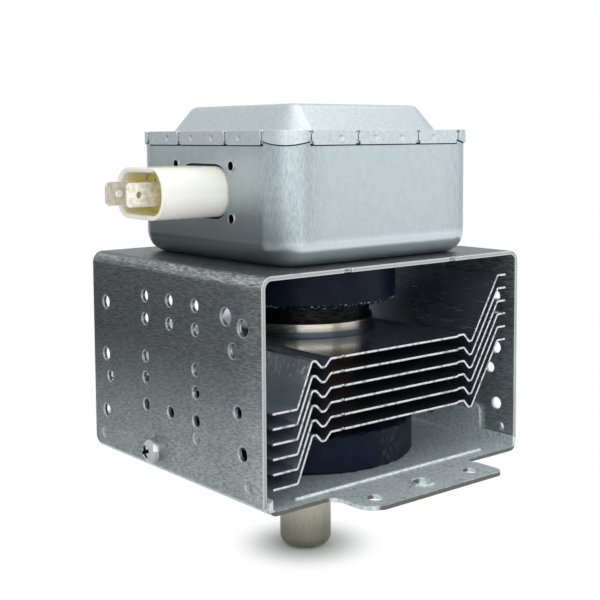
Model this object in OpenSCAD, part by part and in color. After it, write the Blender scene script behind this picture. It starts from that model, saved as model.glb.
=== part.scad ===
// Microwave-oven magnetron: sealed tube, ring magnets, folded yoke, cooling fins and filter box.
// Millimetres, +Z up. The origin is the centre of the four fixing holes, on the underside of the
// mounting plate and on the tube's axis. The output antenna points down, the filter box is on top,
// the blade terminals point towards -X and the yoke is open towards -Y and +Y.

/* [Yoke] */
// Outside width across the two closed walls
yoke_w = 95; // [93:0.5:110]
// Depth between the two open sides
yoke_d = 82.8; // [80:0.2:95]
// Thickness of the yoke and plate steel
sheet_t = 1.2; // [0.8:0.1:1.6]
// Outside radius of the yoke's top bends
yoke_bend_r = 3.2; // [2.2:0.2:5]
// Height of the walls' lower edge above the underside of the plate
wall_foot_z = 2; // [1:0.2:3]
// Radius of the walls' lower corners towards -Y
foot_front_r = 0.8; // [0.4:0.1:4]
// Radius of the walls' lower corners towards +Y
foot_rear_r = 2.4; // [0.4:0.1:4]
// Diameter of the small punched holes in the walls
small_hole_d = 3; // [2:0.2:3.4]
// Diameter of the middle-sized holes in the walls
medium_hole_d = 3.5; // [2.4:0.1:4]
// Diameter of the large holes in the walls
large_hole_d = 4.2; // [3:0.2:5]
// Chamfer round the outside of each wall hole
hole_chamfer = 0.3; // [0.1:0.1:0.5]
// Diameter of the staking dimples low on the walls
stake_d = 3.2; // [2:0.2:3.4]
// Depth of the staking dimples
stake_depth = 0.8; // [0.3:0.1:0.9]
// Width of the nicks in the top's open edges
nick_w = 2.6; // [1:0.2:4]
// Depth of those nicks
nick_depth = 0.5; // [0.3:0.1:1.5]

/* [Mounting plate] */
// How far the plate's open edges stand out past the yoke
plate_overhang = 0.9; // [0:0.1:2]
// Inside radius of the plate's upturned bends
plate_bend_r = 1.2; // [0.6:0.1:2]
// Height of the upturned lips above the underside
lip_h = 3.8; // [3.8:0.1:5]
// Width of the screw tab that rises from each lip
tab_w = 58; // [40:1:66]
// Height of the screw tab above the underside
tab_h = 11.7; // [10:0.1:12]
// Radius of the screw tab's top corners
tab_r = 3; // [1:0.5:5]
// Width of the two fixing flanges
flange_w = 50.2; // [48:0.2:60]
// Spacing of the fixing holes along X
bolt_dx = 36; // [30:0.5:38]
// Spacing of the fixing holes along Y
bolt_dy = 100; // [98:0.5:104]
// Diameter of the fixing holes
bolt_d = 4.6; // [3.6:0.1:5.4]
// Distance of a flange's front edge beyond its fixing holes
bolt_edge = 6.2; // [5:0.2:12]
// Diameter of the locating hole between two fixing holes
locator_d = 5.6; // [4:0.1:6]
// Wall and height of the burr round the locating hole
locator_burr = 0.5; // [0.3:0.1:0.8]
// How far the locating hole sits behind the line of the fixing holes
locator_inset = 1; // [0:0.1:1.5]
// Length of the stiffening bead along each open edge
bead_l = 70.5; // [50:0.5:76]
// Width of that bead
bead_w = 1.4; // [0.8:0.2:2]
// How much smaller in radius the groove under the bead is
bead_draw = 0.2; // [0.1:0.05:0.3]
// Distance of that bead from the plate's edge
bead_inset = 4; // [3:0.1:6]
// Inside fillet where a flange leaves the plate
root_fillet = 4; // [2:0.5:6]
// Radius of a flange's filleted front corner
front_round_left = 6; // [3:0.5:6]
// Radius of a flange's other front corner
front_round_right = 3; // [1:0.5:4]
// Side of the square notch in a flange's straight side
side_notch = 1.4; // [0.6:0.1:2]
// Distance of that notch from the plate
side_notch_y = 2.6; // [1.5:0.1:4]

/* [Magnets] */
// Diameter of the upper ring magnet
upper_magnet_d = 54; // [50:0.5:56]
// Height of the upper ring magnet
upper_magnet_h = 12.1; // [9:0.1:14]
// Diameter of the lower ring magnet
lower_magnet_d = 63.6; // [56:0.2:65]
// Height of the lower ring magnet
lower_magnet_h = 10.8; // [8:0.1:13]
// Chamfer on the magnets' edges
magnet_chamfer = 0.8; // [0.3:0.1:1.5]

/* [Tube] */
// Outside diameter of the anode cylinder
anode_d = 40.6; // [38:0.2:44]
// Height of the anode cylinder
anode_h = 26.7; // [24:0.1:30]
// Wall of the anode cylinder
anode_wall = 2.2; // [1.8:0.1:3]
// Outside diameter of the seal cups' skirts
cup_d = 38.6; // [36.8:0.2:39.2]
// Height of the cathode-side cup's skirt
cathode_cup_h = 5.5; // [4:0.1:7]
// Height of the antenna-side cup's skirt
antenna_cup_h = 2.1; // [1.8:0.1:4]
// Sheet thickness of the seal cups
cup_t = 0.6; // [0.4:0.05:0.8]
// Outside diameter of the cups' necks
neck_d = 19; // [17:0.2:21]
// How far the cathode-side neck rises above the yoke
neck_rise = 2.7; // [2:0.1:5]
// Height of the ceramic foot on the cathode-side neck
stem_h = 6; // [4:0.2:8]
// Number of resonator vanes
vane_count = 10; // [8:2:12]
// Thickness of a vane
vane_t = 2; // [1.6:0.1:2.2]
// Height of a vane
vane_h = 9.5; // [8:0.1:10]
// Radius of the space inside the vanes
vane_tip_r = 4.6; // [4.4:0.1:5]
// Width of a strap ring
strap_w = 0.6; // [0.4:0.1:0.7]
// Height of a strap ring
strap_h = 1.1; // [0.8:0.1:1.4]
// Thickness of the pole pieces
pole_t = 1.6; // [1.2:0.1:1.8]
// Width of the flat rim round a pole piece's funnel
pole_rim_w = 4.5; // [3:0.1:5]
// Radius of the pole pieces' central holes
pole_hole_r = 4.6; // [4.2:0.1:5]
// Radius of the filament coil
filament_r = 2; // [1.6:0.1:2.2]
// Diameter of the filament wire
filament_wire_d = 0.6; // [0.4:0.1:0.7]
// Turns of the filament coil
filament_turns = 6; // [4:1:8]
// Radius of the upper and lower end hats
hat_r = 3.7; // [3.4:0.1:3.9]
// Thickness of an end hat
hat_t = 1.2; // [0.8:0.1:1.6]
// Diameter of the cathode leads
lead_d = 1.5; // [1.2:0.1:1.7]
// Distance of the stem terminals from the axis
stem_pin_y = 3.6; // [3.2:0.1:4.2]
// Diameter of the stem terminals
stem_pin_d = 2.6; // [2:0.1:3]
// How far the stem terminals rise above the ceramic
stem_pin_rise = 6.5; // [5.5:0.1:8]

/* [Antenna] */
// Distance of the antenna's end below the plate's underside
antenna_reach = 28.9; // [27:0.1:33]
// Diameter of the antenna cap
cap_d = 15.3; // [13.5:0.1:17]
// Height of the antenna cap
cap_h = 15.2; // [13.5:0.1:16]
// Radius of the cap's end edge
cap_round = 3; // [1:0.2:5]
// Wall of the antenna cap
cap_t = 0.7; // [0.5:0.1:1]
// Height of the output ceramic
output_ceramic_h = 9; // [7:0.2:10]
// Bore of the output ceramic
output_bore_d = 10; // [9:0.2:11]
// Outside diameter of the exhaust tube
exhaust_d = 8; // [7:0.2:8.6]
// Wall of the exhaust tube
exhaust_wall = 0.9; // [0.6:0.1:1.2]
// Height of the pinched, solid end of the exhaust tube
exhaust_pinch_h = 4; // [3:0.1:4.4]
// Thickness of the flange that closes the ceramic
exhaust_flange_t = 0.8; // [0.6:0.1:1.2]
// Diameter of the antenna lead
antenna_lead_d = 2; // [1.6:0.1:2.2]
// Bend radius of the antenna lead
antenna_bend_r = 3; // [2:0.1:3.4]
// Radius at which the antenna lead leaves its vane
antenna_lead_r = 10.4; // [10:0.1:10.8]
// Outside diameter of the braided gasket
gasket_d = 30; // [26:0.5:34]
// Height of the braided gasket
gasket_h = 3.4; // [2.4:0.2:4]

/* [Fins] */
// Thickness of the fin sheet
fin_t = 0.6; // [0.4:0.05:0.8]
// Distance between one fin and the next
fin_pitch = 3.8; // [3.4:0.05:3.9]
// Depth of a fin between the open sides
fin_d = 83.4; // [76:0.2:88]
// Half width of the flat middle, on the side of the lowered wing
flat_left = 25.7; // [24:0.1:26.5]
// Half width of the flat middle, on the side of the raised wing
flat_right = 22; // [21.6:0.1:23.5]
// Width of the stiffening groove beside the flat
groove_w = 5; // [4:0.1:5.4]
// Depth of the stiffening groove
groove_depth = 1.9; // [1:0.1:2.2]
// Width of the groove's rounded floor
groove_floor = 1.2; // [0.8:0.1:1.6]
// Rise of the narrow step beside the raised wing's groove
step_rise = 0.3; // [0.1:0.1:0.5]
// Width of that step
step_w = 2.2; // [1.6:0.1:2.6]
// Run of the lowered wing
left_run = 4.9; // [4:0.1:5.2]
// Drop of the lowered wing below the flat
left_drop = 11.4; // [8:0.1:11.8]
// Width of the lip at the end of the lowered wing
left_lip = 7.8; // [4:0.1:8]
// Run of the raised wing
right_run = 11; // [9:0.1:11.4]
// Rise of the raised wing above the flat
right_rise = 15.9; // [12:0.1:17]
// Width of the lip at the end of the raised wing
right_lip = 3.4; // [2:0.1:4.4]
// Bend radius of the fin sheet at its middle
fin_bend_r = 0.5; // [0.45:0.05:0.6]
// Height of the collar that grips the anode
collar_h = 1.7; // [1:0.1:2]
// Wall of that collar
collar_t = 0.5; // [0.3:0.1:0.6]
// Distance of the edge notches from the middle
fin_notch_x = 21.5; // [18:0.1:22]
// Radius of the edge notches
fin_notch_r = 0.5; // [0.3:0.1:0.8]

/* [Filter box] */
// Side of the square filter box
box_w = 71.5; // [66:0.5:80]
// Height of the filter box without its lid
box_h = 34.9; // [33:0.1:40]
// Sheet thickness of the box
box_t = 0.8; // [0.6:0.1:1]
// Corner radius of the box in plan
box_corner_r = 9.5; // [8:0.5:11]
// Radius of the box's lower edge
box_edge_r = 6; // [3:0.2:7]
// Sheet thickness of the lid
lid_t = 0.5; // [0.4:0.1:0.8]
// Height of the lid's skirt
skirt_h = 3.8; // [3:0.1:5]
// Distance of the inner gaps in the skirt from the middle of a side
gap_inner = 11.15; // [9:0.1:13]
// Distance of the outer gaps in the skirt from the middle of a side
gap_outer = 27.2; // [26:0.1:28]
// Width of a gap in the skirt
gap_w = 0.4; // [0.3:0.1:1]
// Width of the relief at the top of a gap
relief_w = 1.6; // [1:0.1:2]
// Height of that relief
relief_h = 0.9; // [0.6:0.1:1.2]
// Radius of the skirt's lower corners at a gap
skirt_round = 1; // [0.5:0.1:1.4]
// How far the corner pieces of the skirt are cut away at their ends
smile_rise = 1.1; // [0.4:0.1:1.6]
// Distance of the inner crimping dimples from the middle of a side
dimple_inner = 4.8; // [3:0.1:7]
// Distance of the outer crimping dimples from the middle of a side
dimple_outer = 17.1; // [14:0.1:22]
// Radius of the punch that makes the dimples
dimple_r = 0.9; // [0.6:0.1:1.2]
// Depth of the dimples
dimple_depth = 0.3; // [0.15:0.05:0.35]
// Side of the lid's dome at its foot
dome_w = 59.4; // [54:0.2:62]
// Height of the lid's dome
dome_h = 7.1; // [5:0.1:8]
// Angle of the dome's sides to the plate
dome_angle = 51; // [45:1:60]
// Radius of the dome's upper edge
dome_edge_r = 3; // [1.5:0.1:3.6]
// Corner radius of the dome's foot in plan
dome_corner_r = 9; // [8.6:0.1:11]

/* [Feed-through capacitor] */
// Width of the white sleeve
sleeve_w = 23.2; // [21:0.1:25]
// Height of the white sleeve
sleeve_h = 13.7; // [12:0.1:15]
// Corner radius of the sleeve
sleeve_r = 6; // [4:0.1:6]
// Wall of the sleeve
sleeve_t = 1.3; // [1:0.1:1.6]
// How far the sleeve stands out of the box
sleeve_reach = 20.4; // [16:0.1:24]
// Height of the sleeve's axis above the box's floor
sleeve_z = 19; // [18:0.1:20]
// Depth of the sleeve's open mouth
mouth_depth = 8; // [6:0.1:10]
// Spacing of the two blade terminals
blade_pitch = 10.5; // [9.5:0.1:11]
// Width of a blade
blade_w = 6.3; // [5:0.1:6.6]
// Thickness of a blade
blade_t = 0.8; // [0.5:0.1:1]
// How far the blades stand out of the sleeve
blade_reach = 7; // [5:0.1:9]
// Chamfer at a blade's tip
blade_chamfer = 0.8; // [0.3:0.1:1.2]
// Diameter of the detent hole in a blade
detent_d = 1.8; // [1.2:0.1:2.2]
// Diameter of the terminals' stems
rod_d = 2.2; // [1.8:0.1:2.4]
// Thickness of the earth plate
earth_t = 1; // [0.8:0.1:1.4]
// Margin of the earth plate round the eyelets
earth_margin = 3.6; // [2.8:0.1:4.2]
// Spacing of the eyelets along Y
eyelet_dy = 26.4; // [26:0.1:30]
// Spacing of the eyelets along Z
eyelet_dz = 14.1; // [13:0.1:16]
// Bore of an eyelet
eyelet_d = 2.4; // [1.8:0.1:2.6]
// Wall of an eyelet
eyelet_t = 0.35; // [0.25:0.05:0.5]
// How far an eyelet's rolled end stands out of the box
eyelet_proud = 0.3; // [0.1:0.1:0.5]
// Length of the capacitor's inner case
case_l = 14; // [12:0.2:15]
// Length of the capacitor's ceramic
ceramic_l = 7; // [5:0.2:8]
// How far the terminals' stems stand out of the inner case
rod_tail = 2; // [1:0.1:3]

/* [Chokes] */
// Distance of a choke's axis from the middle of the box
choke_y = 20; // [18:0.1:22]
// Radius of a choke's coil at the middle of its wire
choke_r = 3.7; // [3.4:0.1:4]
// Diameter of the choke wire
choke_wire_d = 1.4; // [1:0.1:1.5]
// Turns of a choke
choke_turns = 6; // [4:1:7]
// Bend radius of the wire between a terminal and its choke
choke_bend_r = 3; // [2:0.1:3.5]
// Distance of a choke's first turn from its terminal
choke_lead_l = 4.5; // [4:0.1:5]
// Length of a choke's ferrite core
core_l = 20; // [16:0.5:24]

/* [Fits] */
// Clearance between pieces that slide together
fit = 0.05; // [0.03:0.01:0.1]
// Clearance round the tube's necks in the magnets, yoke, plate and box
neck_gap = 0.8; // [0.5:0.1:1]
// Clearance round the sleeve in the box wall
sleeve_gap = 0.7; // [0.3:0.1:0.8]
// Clearance between a choke's coil and its core
core_gap = 0.3; // [0.2:0.05:0.4]
// Diameter of the yoke screws
screw_d = 3.4; // [2.8:0.1:3.6]
// Length of the yoke screws below their heads
screw_l = 2.5; // [2.4:0.05:2.6]
// Diameter of the screw heads
screw_head_d = 6.9; // [6:0.1:7.2]
// Height of the screw heads
screw_head_h = 3.6; // [2.6:0.1:4]
// Height of the domed part of the screw heads
screw_crown_h = 1.8; // [1:0.1:1.8]
// Height of the yoke screws above the plate's underside
screw_z = 6.5; // [5.6:0.1:6.6]
// Distance of the yoke screws from the middle of their walls
screw_y = 8; // [-12:0.5:12]

/* [Hidden] */
$fn = 64;
// Overlap of cutting tools past the faces they cut
cut = 1;

// Heights of the stack, from the plate upwards
lower_magnet_z = sheet_t;
antenna_cup_z = lower_magnet_z + lower_magnet_h;
anode_z = antenna_cup_z + antenna_cup_h;
anode_top = anode_z + anode_h;
anode_mid = anode_z + anode_h/2;
cathode_cup_top = anode_top + cathode_cup_h;
yoke_inner_h = cathode_cup_top + upper_magnet_h;
yoke_h = yoke_inner_h + sheet_t;

// Plate
plate_w = yoke_w - 2*sheet_t;
plate_d = yoke_d + 2*plate_overhang;
plate_bend_outer = plate_bend_r + sheet_t;
flange_reach = bolt_dy/2 + bolt_edge;
locator_y = bolt_dy/2 - locator_inset;
nick_x = bolt_dx*0.54;

// Tube
anode_r = anode_d/2;
anode_bore_r = anode_r - anode_wall;
pole_seat_r = anode_bore_r + anode_wall*0.4;
cup_flange_inset = 0.2;
cup_flange_r = anode_r - cup_flange_inset;
neck_r = neck_d/2;
neck_bore_r = neck_r - cup_t;
neck_hole_r = neck_r + neck_gap;
neck_top = yoke_h + neck_rise;
stem_top = neck_top + stem_h;
vane_z = anode_mid - vane_h/2;
vane_top = vane_z + vane_h;
strap_inset = 1.1;
strap_inner_r = vane_tip_r + strap_inset;
strap_gap = 0.5;
strap_outer_r = strap_inner_r + strap_w + strap_gap;
strap_clear = 0.6;
pole_face_w = 2.2;
pole_cone_r = pole_hole_r + pole_face_w;
pole_land = 0.6;
pole_flange_r = anode_bore_r - pole_rim_w;
pole_vane_gap = 2.1;
pole_depth = anode_h/2 - vane_h/2 - pole_vane_gap;
hat_gap = 0.2;
hat_lead_gap = 0.3;
filament_z = vane_z;
lead_r = lead_d/2;
side_lead_inset = 0.2;
side_lead_y = hat_r - lead_r - side_lead_inset;
lead_jog_rise = 2.5;
lead_jog_z = cathode_cup_top + lead_jog_rise;
lead_end_l = 2;
lead_end_z = neck_top - lead_end_l;

// Output end
output_ceramic_z = -antenna_reach + cap_h;
antenna_neck_z = output_ceramic_z + output_ceramic_h;
exhaust_r = exhaust_d/2;
exhaust_bore_r = exhaust_r - exhaust_wall;
exhaust_cap_gap = 3;
exhaust_end_z = -antenna_reach + cap_t + exhaust_cap_gap;
exhaust_floor_z = exhaust_end_z + exhaust_pinch_h;
exhaust_edge = 0.5;
antenna_lean = 1.2;
antenna_pass_z = anode_z + 1;
pole_pass_inset = 0.5;
pole_pass_gap = 1;

// Fins
fin_count = 6;
fin_bore_r = anode_r + fit;
left_shoulder = 1.2;
right_shoulder = 0.4;
step_run = 0.6;
left_edge = flat_left + groove_w + left_shoulder;
right_edge = flat_right + groove_w + right_shoulder;

// Filter box and lid
box_z = yoke_h;
box_top = box_z + box_h;
box_straight = box_w/2 - box_corner_r;
lid_w = box_w + 2*fit + 2*lid_t;
lid_corner_r = box_corner_r + fit + lid_t;
lid_top = box_top + lid_t;
dome_straight = dome_w/2 - dome_corner_r;

// Capacitor and chokes
sleeve_axis_z = box_z + sleeve_z;
box_face_x = -box_w/2;
earth_x = box_face_x + box_t;
case_x = earth_x + earth_t;
sleeve_end_x = box_face_x - sleeve_reach;
potting_x = sleeve_end_x + mouth_depth;
blade_tip_x = sleeve_end_x - blade_reach;
blade_embed = 2;
blade_root_x = potting_x + blade_embed;
rod_end_x = case_x + case_l + rod_tail;
case_wall = 1;
rod_pass_gap = 1;
choke_z = sleeve_axis_z - choke_r;
choke_lead_x = rod_end_x + choke_lead_l;
choke_end_x = 0;
choke_angle = 360*choke_turns + 180;
core_r = choke_r - choke_wire_d/2 - core_gap;

// Holes of one wall, seen from outside: place along the wall, height, diameter
hole_rows = [49.4, 43, 32.3, 26.3, 18.6];
column_pitch = 12.4;
WALL_HOLES = [
    for (z = hole_rows) [column_pitch, z, small_hole_d],
    for (z = hole_rows) [-column_pitch, z, small_hole_d],
    for (i = [0, 1, 4]) [0, hole_rows[i], small_hole_d],
    [34, 45.3, medium_hole_d],
    [34.4, 29.8, medium_hole_d],
    [32.2, 23.4, small_hole_d],
    [34.7, 12.8, medium_hole_d],
    [-26.3, 48.2, large_hole_d],
    [-33.5, 46.1, large_hole_d],
    [-29.2, 39.8, medium_hole_d],
    [-31, 24.4, small_hole_d],
    [-32.9, 14.1, medium_hole_d]
];
// Staking dimples of one wall: place along the wall, height
WALL_STAKES = [[36.1, 5.8], [-35.2, 6.4], [-column_pitch, 13.8]];

// Vectors and paths
function unit(v) = v/norm(v);
function turn(a) = a > 180 ? a - 360 : a < -180 ? a + 360 : a;

// Arc of radius r in place of the corner b between a and c
function corner_arc(a, b, c, r, steps) =
    let (u = unit(a - b),
         v = unit(c - b),
         half = acos(u*v)/2,
         centre = b + unit(u + v)*r/sin(half),
         from = b + u*r/tan(half) - centre,
         to = b + v*r/tan(half) - centre,
         start = atan2(from.y, from.x),
         sweep = turn(atan2(to.y, to.x) - start))
    [for (i = [0:steps]) centre + r*[cos(start + sweep*i/steps), sin(start + sweep*i/steps)]];

// Polyline with every inner corner rounded
function rounded_path(p, r, steps = 4) = [
    p[0],
    for (i = [1:len(p) - 2]) each corner_arc(p[i - 1], p[i], p[i + 1], r, steps),
    p[len(p) - 1]
];

// Direction of a path at point i
function along(p, i) = unit(p[min(i + 1, len(p) - 1)] - p[max(i - 1, 0)]);

// One side of a path in the plane, at distance d to its left
function beside(p, d) = [
    for (i = [0:len(p) - 1])
        let (t = along(p, i),
             leg = unit(p[min(i + 1, len(p) - 1)] - p[min(i, len(p) - 2)]),
             mitre = max(0.5, t*leg))
        p[i] + [-t.y, t.x]*d/mitre
];

// Outline of a sheet of thickness t bent along a path
function sheet_outline(p, t) =
    let (left = beside(p, t/2), right = beside(p, -t/2))
    concat(left, [for (i = [len(right) - 1:-1:0]) right[i]]);

// Side directions carried along a path without twist
function carried(n, t) = unit(n - (n*t)*t);
function side_directions(p) = [
    for (i = 0,
         n = carried(abs(along(p, 0).z) < 0.9 ? [0, 0, 1] : [1, 0, 0], along(p, 0));
         i < len(p);
         i = i + 1,
         n = carried(n, along(p, min(i, len(p) - 1))))
        n
];

// Round wire along a path
module wire(p, d, sides = 8) {
    side = side_directions(p);
    rings = len(p);
    points = [
        for (i = [0:rings - 1], k = [0:sides - 1])
            let (t = along(p, i), a = 360*k/sides)
            p[i] + d/2*(side[i]*cos(a) + cross(t, side[i])*sin(a))
    ];
    walls = [
        for (i = [0:rings - 2], k = [0:sides - 1])
            let (a = i*sides + k, b = i*sides + (k + 1)%sides)
            [a, a + sides, b + sides, b]
    ];
    first = [for (k = [0:sides - 1]) k];
    last = [for (k = [sides - 1:-1:0]) (rings - 1)*sides + k];
    polyhedron(points, concat([first], walls, [last]));
}

// Flat shapes
module rounded_rect(w, h, r) {
    square([w - 2*r, h], center = true);
    square([w, h - 2*r], center = true);
    for (x = [-1, 1], y = [-1, 1])
        translate([x*(w/2 - r), y*(h/2 - r)]) circle(r);
}

// Arch open below, with round upper corners
module arch(w, h, r) {
    translate([-w/2, 0]) square([w, h - r]);
    translate([-w/2 + r, 0]) square([w - 2*r, h]);
    for (x = [-1, 1]) translate([x*(w/2 - r), h - r]) circle(r);
}

// Corner of a square outside its round, also the web of an inside fillet: corner at the origin
module corner_waste(r) {
    difference() {
        translate([-cut, -cut]) square(r + cut);
        translate([r, r]) circle(r);
    }
}

// Ring about the tube's axis
module ring(outer_r, inner_r, z0, z1) {
    difference() {
        translate([0, 0, z0]) cylinder(h = z1 - z0, r = outer_r);
        translate([0, 0, z0 - cut]) cylinder(h = z1 - z0 + 2*cut, r = inner_r);
    }
}

// Section swept round a square plan: the section runs outwards from the centre of a round corner
module swept_square(straight, h) {
    for (a = [0:90:270]) rotate(a) translate([straight, straight, 0]) {
        rotate_extrude(angle = 90) children();
        rotate([90, 0, 0]) linear_extrude(2*straight) children();
    }
    translate([-straight, -straight, 0]) cube([2*straight, 2*straight, h]);
}

// Section of a drawn pan with a round lower edge
module pan_section(r, edge_r, h) {
    intersection() {
        square([r, h]);
        union() {
            translate([0, edge_r]) square([r, h]);
            square([r - edge_r, h]);
            translate([r - edge_r, edge_r]) circle(edge_r);
        }
    }
}

// Section of a dome with sloping sides and a round upper edge
module dome_section(r, h, edge_r) {
    centre_x = r - (edge_r + (h - edge_r)*cos(dome_angle))/sin(dome_angle);
    centre_y = h - edge_r;
    intersection() {
        square([r, h]);
        union() {
            polygon([
                [0, 0],
                [r, 0],
                [centre_x + edge_r*sin(dome_angle), centre_y + edge_r*cos(dome_angle)],
                [centre_x, centre_y],
                [centre_x, h],
                [0, h]
            ]);
            translate([centre_x, centre_y]) circle(edge_r);
        }
    }
}

// Yoke and plate

// Both walls alike: the second is the first turned half round the axis
module on_both_walls() {
    for (a = [0, 180]) rotate(a) translate([-yoke_w/2, 0, 0]) children();
}

// Tool for a hole punched in a wall, from outside at the origin along +X
module wall_punch(d) {
    rotate([0, 90, 0]) {
        translate([0, 0, -cut]) cylinder(h = sheet_t + 2*cut, d = d);
        translate([0, 0, -hole_chamfer])
            cylinder(h = 2*hole_chamfer, d1 = d + 4*hole_chamfer, d2 = d);
    }
}

// Tool for a shallow round dimple, from outside at the origin along +X
module dimple_tool(d, depth) {
    r = (d*d/4 + depth*depth)/(2*depth);
    translate([depth - r, 0, 0]) sphere(r);
}

// Bump that a staking dimple raises on the inside of a wall
module stake_bump() {
    r = stake_d/2;
    h = stake_depth;
    root = sheet_t/8;
    translate([sheet_t, 0, 0]) rotate([0, 90, 0]) rotate_extrude()
        polygon([[0, -root], [r, -root], [r, 0], [0.85*r, 0.6*h], [0.5*r, 0.93*h], [0, h]]);
}

// Yoke before its holes: folded sheet with the bumps of its stakes
module folded_yoke() {
    rotate([90, 0, 0]) linear_extrude(yoke_d, center = true) difference() {
        arch(yoke_w, yoke_h, yoke_bend_r);
        arch(yoke_w - 2*sheet_t, yoke_inner_h, yoke_bend_r - sheet_t);
        translate([-yoke_w, -cut]) square([2*yoke_w, wall_foot_z + cut]);
    }
    on_both_walls() for (stake = WALL_STAKES) translate([0, stake[0], stake[1]]) stake_bump();
}

module yoke_frame() {
    color("lightslategray") difference() {
        folded_yoke();
        on_both_walls() {
            for (hole = WALL_HOLES)
                translate([0, hole[0], hole[1]]) wall_punch(hole[2]);
            for (stake = WALL_STAKES)
                translate([0, stake[0], stake[1]]) dimple_tool(stake_d, stake_depth);
            translate([-cut, screw_y, screw_z])
                rotate([0, 90, 0]) cylinder(h = sheet_t + 2*cut, d = screw_d + 4*fit);
        }
        translate([-yoke_w/2 - cut, 0, 0]) rotate([90, 0, 90]) linear_extrude(yoke_w + 2*cut) {
            translate([-yoke_d/2, wall_foot_z]) corner_waste(foot_front_r);
            mirror([1, 0]) translate([-yoke_d/2, wall_foot_z]) corner_waste(foot_rear_r);
        }
        translate([0, 0, yoke_inner_h - cut]) cylinder(h = sheet_t + 2*cut, r = neck_hole_r);
        for (x = [-1, 1], y = [-1, 1])
            translate([x*nick_x - nick_w/2, y*yoke_d/2 - nick_depth, yoke_inner_h - cut])
                cube([nick_w, 2*nick_depth, sheet_t + 2*cut]);
    }
}

// Front flange in plan
module flange_plan() {
    left = -flange_w/2;
    right = flange_w/2;
    root = -plate_d/2;
    difference() {
        union() {
            translate([left, -flange_reach]) square([flange_w, flange_reach + root + cut]);
            translate([left, root]) mirror([1, 1]) corner_waste(root_fillet);
        }
        translate([left, -flange_reach]) corner_waste(front_round_left);
        translate([right, -flange_reach]) mirror([1, 0]) corner_waste(front_round_right);
        translate([right, root - side_notch_y]) rotate(45) square(side_notch, center = true);
    }
}

// Profile of the plate across X: flat with two upturned lips
module plate_profile(h) {
    difference() {
        translate([0, h]) mirror([0, 1]) arch(plate_w, h, plate_bend_outer);
        translate([0, h + cut]) mirror([0, 1])
            arch(plate_w - 2*sheet_t, h + cut - sheet_t, plate_bend_r);
    }
}

module mounting_plate() {
    color("silver") difference() {
        union() {
            rotate([90, 0, 0]) linear_extrude(plate_d, center = true) plate_profile(lip_h);
            for (a = [0, 180]) rotate(a) {
                linear_extrude(sheet_t) flange_plan();
                translate([-plate_w/2, 0, 0]) rotate([90, 0, 90]) linear_extrude(sheet_t)
                    screw_tab_plan();
                translate([0, bead_inset - plate_d/2, sheet_t]) bead(bead_w/2);
                translate([0, -locator_y, 0])
                    cylinder(h = sheet_t + locator_burr, d = locator_d + 2*locator_burr);
            }
        }
        for (a = [0, 180]) rotate(a) {
            for (x = [-1, 1]) translate([x*bolt_dx/2, bolt_dy/2, -cut])
                cylinder(h = sheet_t + 2*cut, d = bolt_d);
            translate([0, -locator_y, -cut])
                cylinder(h = sheet_t + locator_burr + 2*cut, d = locator_d);
            translate([0, bead_inset - plate_d/2, 0]) bead(bead_w/2 - bead_draw);
            translate([-plate_w/2 - cut, screw_y, screw_z])
                rotate([0, 90, 0]) cylinder(h = sheet_t + 2*cut, d = screw_d + 2*fit);
        }
        translate([0, 0, -cut]) cylinder(h = sheet_t + 2*cut, r = neck_hole_r);
    }
}

// Screw tab in its own plane, with round upper corners
module screw_tab_plan() {
    translate([0, lip_h - cut]) arch(tab_w, tab_h - lip_h + cut, tab_r);
}

// Half-round bar along X with round ends
module bead(r) {
    straight = bead_l/2 - r;
    translate([-straight, 0, 0]) rotate([0, 90, 0]) cylinder(h = 2*straight, r = r);
    for (x = [-1, 1]) translate([x*straight, 0, 0]) sphere(r);
}

// Pan-head screw along +X, with the underside of its head at the origin
module pan_screw() {
    recess_l = screw_head_d*0.55;
    recess_w = screw_head_d*0.14;
    recess_depth = screw_head_h*0.5;
    difference() {
        union() {
            rotate([0, 90, 0]) cylinder(h = screw_l, d = screw_d);
            intersection() {
                translate([-screw_head_h, 0, 0])
                    rotate([0, 90, 0]) cylinder(h = screw_head_h, d = screw_head_d);
                screw_crown();
            }
        }
        for (a = [20, 110]) rotate([a, 0, 0])
            translate([-screw_head_h - cut, -recess_l/2, -recess_w/2])
                cube([recess_depth + cut, recess_l, recess_w]);
    }
}

// Ball that crowns a screw head
module screw_crown() {
    r = (screw_head_d*screw_head_d/4 + screw_crown_h*screw_crown_h)/(2*screw_crown_h);
    translate([r - screw_head_h, 0, 0]) sphere(r);
}

module yoke_screws() {
    color("gainsboro") on_both_walls() translate([0, screw_y, screw_z]) pan_screw();
}

// Magnets

// Ring magnet with broken edges
module ring_magnet(d, h, z) {
    c = magnet_chamfer;
    translate([0, 0, z]) rotate_extrude() polygon([
        [neck_hole_r, 0],
        [d/2 - c, 0],
        [d/2, c],
        [d/2, h - c],
        [d/2 - c, h],
        [neck_hole_r, h]
    ]);
}

module upper_magnet() {
    color("darkslategray") ring_magnet(upper_magnet_d, upper_magnet_h, cathode_cup_top);
}

module lower_magnet() {
    color("darkslategray") ring_magnet(lower_magnet_d, lower_magnet_h, lower_magnet_z);
}

// Tube

module anode_cylinder() {
    color("peru") difference() {
        ring(anode_r, anode_bore_r, anode_z, anode_top);
        for (z = [anode_z - cut, anode_top - pole_t])
            translate([0, 0, z]) cylinder(h = pole_t + cut, r = pole_seat_r);
    }
}

// Notches for the strap rings at one edge of a vane: deep where the ring passes clear
module strap_notch(ring_r, touches) {
    depth = touches ? strap_h : strap_h + strap_clear;
    translate([ring_r - strap_gap/2, -vane_t, -depth])
        cube([strap_w + strap_gap, 2*vane_t, depth + cut]);
}

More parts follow.
